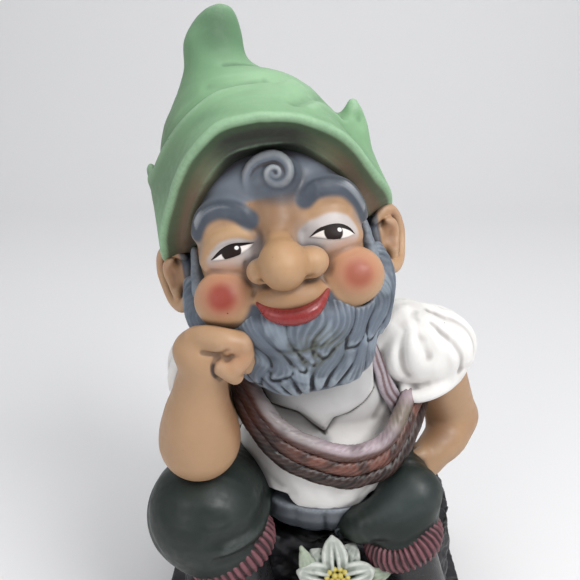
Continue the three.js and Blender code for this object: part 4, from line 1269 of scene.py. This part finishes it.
def paint_rope(piece, turn, top):
    """The top turn is paler along its upper side, a painted highlight, and the lower ones are painted
    darker, as painted shade.
    """
    # each turn darker than the one above, as painted shade
    piece.paint((0x5A3F3B, 0x4C2D25, 0x1A100E)[turn])
    x = piece.points[:, 0]
    if turn == 0:
        # painted highlight along the top turn's upper side, with an olive tint on the left
        piece.spray(0xA9A0A0, 0.9 * top * ramp(x, -47, -38))
        piece.spray(0xB3A0A8, 0.8 * top * ramp(x, -12, 8))
        piece.dab(0x686244, 0.7, (52, -54, 200), (12, 12, 9), 0.6)
    else:
        # the second turn reddish on its ridges, then painted shade on the lower turns towards the gnome's
        # right
        piece.spray(0x8A5446, (0.55, 0.05)[turn - 1] * ramp(piece.relief, -0.1, 0.4) * ramp(x, -40, 0))
        piece.spray(0x1D1112, 0.8 * ramp(-x, 10, 36))
    piece.cloud(0x110B0A, (0.4, 0.7, 0.8)[turn], 26, 43 + turn, 0.1, 0.7)
    piece.dab(0x5D332B, 0.5, (-44, -62, 212), (8, 10, 16), 0.6)


def waistband():
    clay = Clay((-64, -78, 96), (70, 56, 142), PLAIN)
    rings = np.array([[99, 26, 26], [105, 36, 36], [111, 49, 48], [118, 56, 54], [127, 60, 57.5],
                      [136, 60, 57.5]], float)

    def band(x, y, z):
        wide, deep = (np.interp(z, rings[:, 0], rings[:, k]) for k in (1, 2))
        around = np.arctan2(x - 3, -y - 11)
        pleat = 1.1 * np.abs(np.sin(around * 9)) ** 0.7 - 0.5
        side = (np.hypot((x - 3) / wide, (y + 11) / deep) - 1) * np.minimum(wide, deep) - pleat
        return np.maximum(side, np.abs(z - 118) - 19) * 0.8

    clay.add((np.array([-62, -76, 97]), np.array([68, 54, 139]), band))
    clay.fold([[2.5, -70, 131], [3.5, -66, 122], [4.5, -60, 112]], 1.2, 1.4)
    piece = clay.skin("waistband").paint(0x575C62)
    # painted shade on the band's lower part, and a painted highlight on its upper front
    piece.spray(0x212328, 0.8 * ramp(-piece.points[:, 2], -118, -107))
    piece.dab(0x72777D, 0.5, (10, -68, 127), (34, 14, 5), 0.5)
    return piece


def fly_button():
    at = np.array([15, -65.0, 118])
    clay = Clay(at - 12, at + 12, FINE * 0.5)
    clay.add(ball(at, (5.4, 3.4, 5.4), (-20, 0, 0)))
    angles = np.linspace(0, 2 * math.pi, 9)
    rim = [at + [4.7 * math.sin(a), -2.4 - 1.4 * math.cos(a), 4.3 * math.cos(a)] for a in angles]
    clay.roll(rim, [0.9] * 9, 0.6)
    for dx in (-1.3, 1.3):
        clay.cut(ball(at + [dx, -3.4, -0.4], (0.7, 1.5, 0.7)), 0.2)
    return clay.skin("fly_button").paint(0x272C2E)


KNEES = {"right": [-73, -75, 142], "left": [60, -62, 145]}
KNEE_SIZE = {"right": 37, "left": 17.5}
SHINS = {"right": [36, 32, 23.5], "left": [17, 20, 21]}  # the radii of a breeches leg from knee to cuff
ANKLES = {"right": [-40, -76, 48], "left": [74, -74, 48]}
CUFFS = {"right": [-57, -79, 118], "left": [54, -70, 117]}  # the sock cuffs' middles
CUFF_AXES = {"right": [0.5, -0.02, -0.87], "left": [0.42, -0.02, -0.91]}
CUFF_SIZE = {"right": 28, "left": 24.5}


def trouser_leg(side):
    s = SIDES[side]
    knee, size = np.array(KNEES[side], float), KNEE_SIZE[side]
    end = np.array(CUFFS[side], float)
    low, high = np.minimum(knee, end) - size - 8, np.maximum(knee, end) + size + 10
    low[0], high[0] = min(low[0], 0), max(high[0], 0)
    low[2], high[1] = 66, 60
    clay = Clay(low, high, PLAIN)
    clay.roll([[34 * s, 14, 126], knee * [0.55, 0.5, 0] + [14 * s, 6, 130], knee], [34, 29, size], 2)
    if side == "left":
        clay.roll([knee, [46, -70, 137], [28, -72, 129], [20, -50, 116]], [size, 16, 12.5, 14], 6)
    clay.roll([knee, (knee + end) / 2, end + [0, 0, 4]], SHINS[side], 5)
    if side == "right":
        folds = (
            ([[-36, -64, 150], [-46, -92, 149], [-66, -104, 148]], 4.5, 1.8),
            ([[-34, -70, 136], [-48, -98, 136], [-64, -108, 136]], 2.4, 2.0),
            ([[-34, -68, 143], [-46, -94, 143], [-60, -104, 142]], 3.0, -1.6),
            ([[-104, -70, 160], [-108, -86, 146], [-100, -100, 132]], 5.0, 1.6),
            ([[-60, -104, 160], [-76, -106, 164], [-90, -98, 162]], 6.0, 1.2),
        )
    else:
        folds = (
            ([[34, -86, 126], [46, -89, 127], [60, -86, 131], [72, -76, 134]], 2.0, 1.4),
            ([[30, -84, 134], [46, -86, 140], [62, -80, 146]], 4.0, 1.0),
            ([[74, -50, 154], [77, -62, 146], [75, -72, 138]], 4.0, 1.2),
        )
    for fold in folds:
        clay.fold(*fold)
    piece = clay.skin(side + "_trouser_leg").paint(0x14201A)
    # painted shade on the lower leg, under the knee
    piece.spray(0x050505, 0.6 * ramp(-piece.points[:, 2], -118, -100))
    # a painted highlight on the upper side of each knee
    if side == "left":
        piece.dab(0x343D3D, 0.7, (50, -80, 154), (20, 20, 11), 0.8)
    else:
        piece.dab(0x2A3431, 0.6, (-46, -84, 168), (18, 26, 16), 0.8)
    return piece


def trouser_seat():
    clay = Clay((-72, -44, 84), (76, 82, 172), PLAIN)
    clay.add(ball((2, 24, 124), (62, 50, 36)))
    for fold in (
        ([[2, 60, 150], [2, 74, 128], [2, 72, 104]], 3.0, 2.4),
        ([[-50, 30, 110], [-30, 56, 104], [-8, 70, 110]], 4.0, 2.0),
        ([[54, 30, 110], [34, 56, 104], [12, 70, 110]], 4.0, 2.0),
    ):
        clay.fold(*fold)
    return clay.skin("trouser_seat").paint(0x14201A)


def tube(name, centre, axis, rings, columns, profile):
    """A closed ring of any section round an axis: profile(angle, share) gives radius and height."""
    axis = unit(np.array(axis, float))
    first = unit(np.cross(axis, [0, 1, 0]))
    second = np.cross(axis, first)
    angle = np.linspace(0, 2 * math.pi, rings, endpoint=False)[:, None]
    share = np.linspace(0, 1, columns, endpoint=False)[None]
    radius, height = profile(angle, share)
    out = np.cos(angle)[..., None] * first + np.sin(angle)[..., None] * second
    points = np.array(centre) + radius[..., None] * out + height[..., None] * axis
    return Piece(name, points.reshape(-1, 3), grid_faces(rings, columns)[:, [0, 3, 2, 1]])


def sock_cuff(side):
    """A rolled, ribbed knit cuff between breeches and boot."""
    size = CUFF_SIZE[side]
    ribs = 38

    def profile(angle, share):
        turn = share * 2 * math.pi
        rib = 0.5 + 0.5 * np.cos(ribs * angle + 0.5 * np.sin(turn * 2 + angle * 9))
        knit = 0.25 * np.sin(turn * 9) * rib
        thick = 6.6 + 1.5 * rib**0.7 + knit + 0.5 * np.sin(3 * angle)
        return size - 5.5 + thick * np.cos(turn), 1.2 * thick * np.sin(turn)

    piece = tube(side + "_sock_cuff", CUFFS[side], CUFF_AXES[side], 340, 44, profile)
    angle = np.repeat(np.linspace(0, 2 * math.pi, 340, endpoint=False), 44)
    piece.relief = 0.8 * np.cos(ribs * angle)
    piece.paint(0x693E43)
    piece.cloud(0x3E2227, 0.5, 14, 12, 0, 0.8)
    return piece


BOOT_CREASE = [  # offsets across, forwards, back per crease, and up
    [-18, 0, 2, 0], [-10, 12, 4, 8], [0, 14, 4, 10], [10, 12, 4, 8], [18, 0, 2, 0],
]


def boot(side):
    s = SIDES[side]
    x = ANKLES[side][0] + 2 * s
    top = np.array(CUFFS[side], float) + np.array(CUFF_AXES[side]) * 6
    clay = Clay((min(x, top[0]) - 34, -140, 16), (max(x, top[0]) + 34, -40, top[2] + 12), FINE)
    clay.roll([top, (top + [x, -77, 48]) / 2, [x, -77, 48], [x, -84, 38]], [18, 18, 18.5, 18])
    clay.add(ball((x, -106, 33), (21, 27, 15.5)), 8)
    clay.add(ball((x, -76, 32), (19, 18, 14)), 6)
    underfoot = np.array([x - 40, -150, 0]), np.array([x + 40, -30, 24])
    clay.cut((*underfoot, lambda px, py, pz: pz - 23.4), 0.4)
    clay.fold([[x - 20, -96, 34], [x - 12, -100, 46], [x, -100, 50], [x + 12, -100, 46],
               [x + 20, -96, 34]], 1.2, 1.2)
    for k in range(3):
        z = 38 + 3.5 * k
        crease = [[x + out, -86 - back + rise * k, z + up] for out, back, rise, up in BOOT_CREASE]
        clay.fold(crease, 1.8, 0.9)
    piece = clay.skin(side + "_boot").paint(0x222224)
    laces = Clay((x - 22, -114, 36), (x + 22, -76, 74), FINE * 0.7)
    for k in range(4):
        y, z = -103 + 4.6 * k, 48.5 + 5.4 * k
        for way in (-1, 1):
            lace = [[x - 9 * way, y, z - 2], [x, y + 2.4, z + 3], [x + 9 * way, y + 5, z + 3]]
            laces.roll(clay.settle(lace, 1.2), [1.5, 1.6, 1.5], 0.3)
    bow = clay.settle([[x, -84, 68]], 1.5)[0]
    for way in (-1, 1):
        loop = np.array([[0, 0, 0], [7, -5, 2], [11, -5, -3], [5, -4, -3], [0, 0, 0]]) * [way, 1, 1]
        laces.roll(bow + loop, [1.3] * 5, 0.3)
    laced = laces.skin(side + "_boot_laces").paint(0x4A342A)
    return piece, laced


def boot_sole(side):
    x = ANKLES[side][0] + 2 * SIDES[side]
    clay = Clay((x - 32, -144, 10), (x + 32, -48, 28), FINE)

    def outline(px, py, pz):
        toe = np.hypot((px - x) / 22.5, (py + 112) / 24) - 1
        heel = np.hypot((px - x) / 19, (py + 76) / 19) - 1
        waist = np.maximum(np.abs(px - x) - 17.5, np.maximum(-py - 112, py + 76))
        flat = np.minimum(np.minimum(toe * 20, heel * 18), waist)
        return np.maximum(flat, np.abs(pz - 19.2) - 3.3)

    clay.add((np.array([x - 30, -142, 12]), np.array([x + 30, -50, 26]), outline), 0.5)
    for k in range(14):
        y = -134 + 6 * k
        for way in (-1, 1):
            clay.cut(ball((x + 25 * way, y, 16.5), (6, 1.3, 1.6)), 0.3)
    return clay.skin(side + "_boot_sole").paint(0x1C1B1C)


def rock():
    """A squared block of stone on a slab, rounded, pitted and chipped."""
    clay = Clay((-122, -142, -1), (122, 96, 104), 1.5)
    lowest, highest = clay.low, clay.low + np.array(clay.field.shape) * clay.voxel

    def block(half, front, back, corner, low, high, round_by):
        def distance(x, y, z):
            reach = (back - front) / 2
            out_x, out_y = np.abs(x), np.abs(y - (front + back) / 2)
            q = [out_x - half, out_y - reach, np.abs(z - (low + high) / 2) - (high - low) / 2]
            q[0] = soft_max(q[0], (out_x + out_y - (half + reach) * (1 - corner)) * 0.7071, 6)
            q = [part + round_by for part in q]
            outside = np.sqrt(sum(np.maximum(part, 0) ** 2 for part in q))
            return outside + np.minimum(np.maximum(np.maximum(q[0], q[1]), q[2]), 0) - round_by
        return lowest, highest, distance

    clay.add(block(115, -137, 89, 0.1, 0, 16, 1.5))
    clay.add(block(101, -47, 84, 0.14, 10, 93, 9), 3)
    clay.add(ball((14, -60, 44), (30, 26, 32)), 8)
    clay.add(ball((-12, -70, 26), (26, 24, 22)), 8)
    clay.add(ball((44, -56, 30), (26, 20, 24)), 8)
    rough = clay.skin("rock")
    up = rough.points[:, 2]
    sizes = ((2.6, 42), (1.5, 17), (0.6, 7))
    lumps = sum(depth * ripple(rough.points, size, 21 + k) for k, (depth, size) in enumerate(sizes))
    carve = 3.0 * ramp(1 - np.abs(ripple(rough.points, 50, 24)), 0.86, 1.0)
    strength = ramp(up, 0.5, 6) * (0.35 + 0.65 * ramp(up, 14, 24))
    rough.swell((np.minimum(lumps, 1.8) - carve - 1.2) * strength)
    rough.relief = np.clip(lumps * 0.16 - carve * 0.3, -1, 1)
    rough.paint(0x26262A)
    rough.spray(0x4C4D53, 0.5 * ramp(ripple(rough.points, 24, 25), 0.1, 0.9) * ramp(up, 10, 40))
    return rough


# ---- edelweiss -----------------------------------------------------------------------------------
FLOWER_AT = np.array([10.0, -92.0, 101.0])
FLOWER_FACES = unit(np.array([0.03, -0.78, 0.62]))


def flower_axes():
    right = unit(np.cross([0, 0, 1], FLOWER_FACES)) * -1
    return right, np.cross(FLOWER_FACES, right) * -1


def petals():
    clay = Clay((-30, -126, 68), (50, -64, 142), FINE * 0.8)
    right, up = flower_axes()
    for layer in range(2):
        for k in range(5):
            a = math.radians(72 * k + 36 * layer + 90 + (5 if k % 2 else -5))
            reach = (27, 25)[layer] * (1, 0.93, 1.04, 0.9, 0.97)[k]
            way = right * math.cos(a) + up * math.sin(a)
            side = np.cross(FLOWER_FACES, way)

            def petal_point(t, across, raised=0.0):
                wide = 8.0 * math.sin(math.pi * min(0.12 + 0.9 * t, 1)) ** 0.7
                arch = 1.0 + 4.0 * math.sin(2.4 * t) - 3.5 * t * t - 3.2 * layer - 1.6 * across**2
                return FLOWER_AT + way * reach * t + side * across * wide + FLOWER_FACES * (arch + raised)

            for across in (-0.85, -0.3, 0.3, 0.85):
                rows = [petal_point(t, across) for t in (0.25, 0.45, 0.65, 0.83, 0.97)]
                clay.roll(rows, [1.7, 2.1, 2.2, 1.9, 1.0], 1.2)
            for across in (-0.5, 0.0, 0.5):
                vein = [petal_point(t, across, 2.0) for t in (0.3, 0.55, 0.86)]
                clay.fold(vein, 0.9, 0.7)
    piece = clay.skin("edelweiss_petals").paint(0xA7ADA4)
    away = np.linalg.norm(piece.points - FLOWER_AT, axis=1)
    piece.spray(0x424D3B, 0.85 * (1 - ramp(away, 8, 15)))
    piece.cloud(0x6B7268, 0.5, 9, 31, 0.1, 0.8)
    return piece


def flower_heart():
    clay = Clay(FLOWER_AT - 15, FLOWER_AT + 15, FINE * 0.5)
    right, up = flower_axes()
    spots = [(0, 0)] + [(1, k * 60) for k in range(6)] + [(2, 15 + k * 30) for k in range(12)]
    for ring, degrees in spots:
        a = math.radians(degrees)
        out = (right * math.cos(a) + up * math.sin(a)) * 3.4 * ring
        clay.add(ball(FLOWER_AT + out + FLOWER_FACES * (5.2 - 0.6 * ring**2), (2.0, 2.0, 2.0)), 0.3)
    piece = clay.skin("edelweiss_heart").paint(0xB9A545)
    # painted shade in the gaps between the florets
    piece.spray(0x6B6A30, 0.6 * ramp(-piece.relief, -0.1, 0.3))
    return piece


LEAVES = {
    "left": [[17, -86, 86], [31, -88, 98], [46, -87, 106]],
    "right": [[5, -86, 86], [-6, -88, 102], [-13, -85, 122]],
}


def leaf(side):
    line = along(LEAVES[side], 4)
    clay = Clay(line.min(0) - 14, line.max(0) + 14, FINE * 0.8)
    way = unit(line[-1] - line[0])
    aside = unit(np.cross(way, [0, -1, 0.3]))
    out = unit(np.cross(aside, way))
    out *= -np.sign(out[1])
    share = np.linspace(0, 1, len(line))
    half = 6.5 * np.sin(np.pi * np.minimum(0.08 + 0.92 * share, 1)) ** 0.8
    for across in (-0.8, -0.25, 0.25, 0.8):
        rows = line + aside * (across * half)[:, None] + out * (1.2 * (1 - across**2))
        clay.lay(np.column_stack([rows, 1.9 - 0.9 * share**3]), 1.2)
    for across in (-0.5, 0.0, 0.5):
        vein = line[2:-1] + aside * (across * half[2:-1])[:, None] + out * 2.5
        clay.fold(vein[::3], 0.9, 0.8)
    piece = clay.skin(side + "_leaf").paint(0x88937F)
    piece.cloud(0x3C4638, 0.6, 12, 33, -0.1, 0.8)
    return piece


def stem():
    clay = Clay((-6, -104, 52), (28, -60, 108), FINE)
    clay.roll([FLOWER_AT - FLOWER_FACES * 4, [11, -86, 84], [12, -76, 66]], [4.0, 3.6, 4.4])
    return clay.skin("edelweiss_stem").paint(0x4A5540)


# ---- putting it together -------------------------------------------------------------------------
def figure():
    """Every moulded piece with the CAD nodes it stands for, its material slot and its paint."""
    features = "head_moulding right_ear left_ear right_eyebrow left_eyebrow forelock_curl"
    rows = [(head(), features, "skin", "skin_tan")]
    face_clay = CLAYWORK[-1]
    rows += [(eye(side, face_clay), side + "_eye_transfer", "eye_print", "eye_print") for side in SIDES]
    rows += [
        (lip(), "lower_lip", "lip_red", "lip_red"),
        (beard(), "beard", "hair_grey", "hair_slate"),
        (back_hair(), "back_hair", "hair_grey", "hair_slate"),
        (hat(), "hat", "hat_green", "hat_felt_green"),
        (right_arm(), "right_hand right_forearm right_upper_arm", "skin", "skin_tan"),
        (left_arm(), "left_hand left_forearm left_upper_arm", "skin", "skin_tan"),
        (right_sleeve(), "right_sleeve", "shirt_white", "shirt_white"),
        (left_sleeve(), "left_sleeve", "shirt_white", "shirt_white"),
        (shirt(), "shirt_body right_collar left_collar", "shirt_white", "shirt_white"),
    ]
    shirt_clay = CLAYWORK[-1]
    rows += [(brace(side, shirt_clay), side + "_brace", "strap_brown", "strap_brown") for side in SIDES]
    rows += [(rope_turn(k), f"rope_turn_{k + 1}", "rope_brown", "rope_brown") for k in range(ROPE_TURNS)]
    rows.append((waistband(), "waistband", "band_grey", "waistband_grey"))
    rows.append((fly_button(), "fly_button", "trouser_green", "button_dark"))
    for side in SIDES:
        rows.append((trouser_leg(side), side + "_trouser_leg", "trouser_green", "trouser_green"))
    rows.append((trouser_seat(), "trouser_seat", "trouser_green", "trouser_green"))
    for side in SIDES:
        rows.append((sock_cuff(side), side + "_sock_cuff", "sock_red", "sock_red"))
        upper, laces = boot(side)
        rows.append((upper, side + "_boot", "boot_black", "boot_black"))
        rows.append((laces, side + "_boot_laces", "lace_brown", "lace_brown"))
        rows.append((boot_sole(side), side + "_boot_sole", "sole_black", "sole_black"))
    rows.append((rock(), "rock", "rock_black", "rock_black"))
    rows.append((petals(), "edelweiss_petals", "flower_white", "edelweiss"))
    rows.append((flower_heart(), "edelweiss_heart", "flower_yellow", "flower_yellow"))
    rows += [(leaf(side), side + "_leaf", "leaf_green", "leaf_green") for side in SIDES]
    rows.append((stem(), "edelweiss_stem", "leaf_green", "leaf_green"))
    return rows


def finish(rows):
    """Makes each piece's mesh, in its paint."""
    paints = {name: painted(name) for name in PAINTS}
    paints["eye_print"] = print_gloss()
    crowding = Crowding()
    for piece, nodes, slot, paint in rows:
        build(piece, crowding, paints[paint], nodes.split())


def base():
    """The plate and its stopper stay as the CAD made them, with moulded plastic and rubber finishes."""
    for node, slot, colour, rough in (
        ("base_plate", "plate_grey", 0x77797B, 0.45),
        ("base_stopper", "stopper_rubber", 0x1D1D1F, 0.6),
    ):
        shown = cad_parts[node]
        shown.data.materials.clear()
        shown.data.materials.append(plate_plastic(slot, colour, rough))


# ---- studio --------------------------------------------------------------------------------------
def plain(name, colour, rough):
    s = Shader(name)
    s.feed(s.surface.inputs["Base Color"], rgba(colour))
    s.feed(s.surface.inputs["Roughness"], rough)
    return s.material


def backdrop():
    """A pale floor that curves up into a wall behind the figure."""
    half, front, turn, bend, top = 2.2, -1.6, 1.0, 0.5, 2.6
    section = [(front, 0.0), (turn, 0.0)]
    angles = np.linspace(0.1, math.pi / 2, 12)
    section += [(turn + bend * math.sin(a), bend - bend * math.cos(a)) for a in angles]
    section.append((turn + bend, top))
    points = [(x, y, z) for y, z in section for x in (-half, half)]
    faces = [(2 * i, 2 * i + 1, 2 * i + 3, 2 * i + 2) for i in range(len(section) - 1)]
    mesh = bpy.data.meshes.new("floor")
    mesh.from_pydata(points, [], faces)
    mesh.polygons.foreach_set("use_smooth", np.ones(len(faces), bool))
    obj = bpy.data.objects.new("floor", mesh)
    bpy.context.scene.collection.objects.link(obj)
    mesh.materials.append(plain("backdrop", 0xEFEEEE, 0.8))


def lamp(name, at, aim, size, watts):
    data = bpy.data.lights.new(name, "AREA")
    data.shape = "DISK"
    data.size = size
    data.energy = watts
    obj = bpy.data.objects.new(name, data)
    bpy.context.scene.collection.objects.link(obj)
    obj.location = at
    obj.rotation_euler = (Vector(aim) - Vector(at)).to_track_quat("-Z", "Y").to_euler()


CAMERA_AT = [-20, -425, 452]
CAMERA_DOWN = 24  # degrees below level
FOCAL_SHARE = 35 / 29  # the lens's focal length as a share of the sensor's width


def camera():
    data = bpy.data.cameras.new("camera")
    data.sensor_width = 36
    data.lens = FOCAL_SHARE * data.sensor_width
    obj = bpy.data.objects.new("camera", data)
    bpy.context.scene.collection.objects.link(obj)
    obj.location = (HOME + CAMERA_AT) * MM
    obj.rotation_euler = (math.radians(90 - CAMERA_DOWN), 0, 0)
    bpy.context.scene.camera = obj


def studio():
    backdrop()
    camera()
    aim = (0, -0.02, 0.25)
    lamp("key", (0.75, -0.75, 1.3), aim, 0.8, 15)
    lamp("fill", (-0.9, -0.95, 0.9), aim, 0.9, 4)
    lamp("top", (0.1, -0.1, 1.9), aim, 1.3, 9)
    world = bpy.data.worlds.new("studio")
    bpy.context.scene.world = world
    world.use_nodes = True
    background = world.node_tree.nodes["Background"]
    background.inputs["Color"].default_value = (0.92, 0.95, 1.0, 1)
    background.inputs["Strength"].default_value = 0.42
    bpy.context.scene.view_settings.view_transform = "Standard"


finish(figure())
base()
studio()
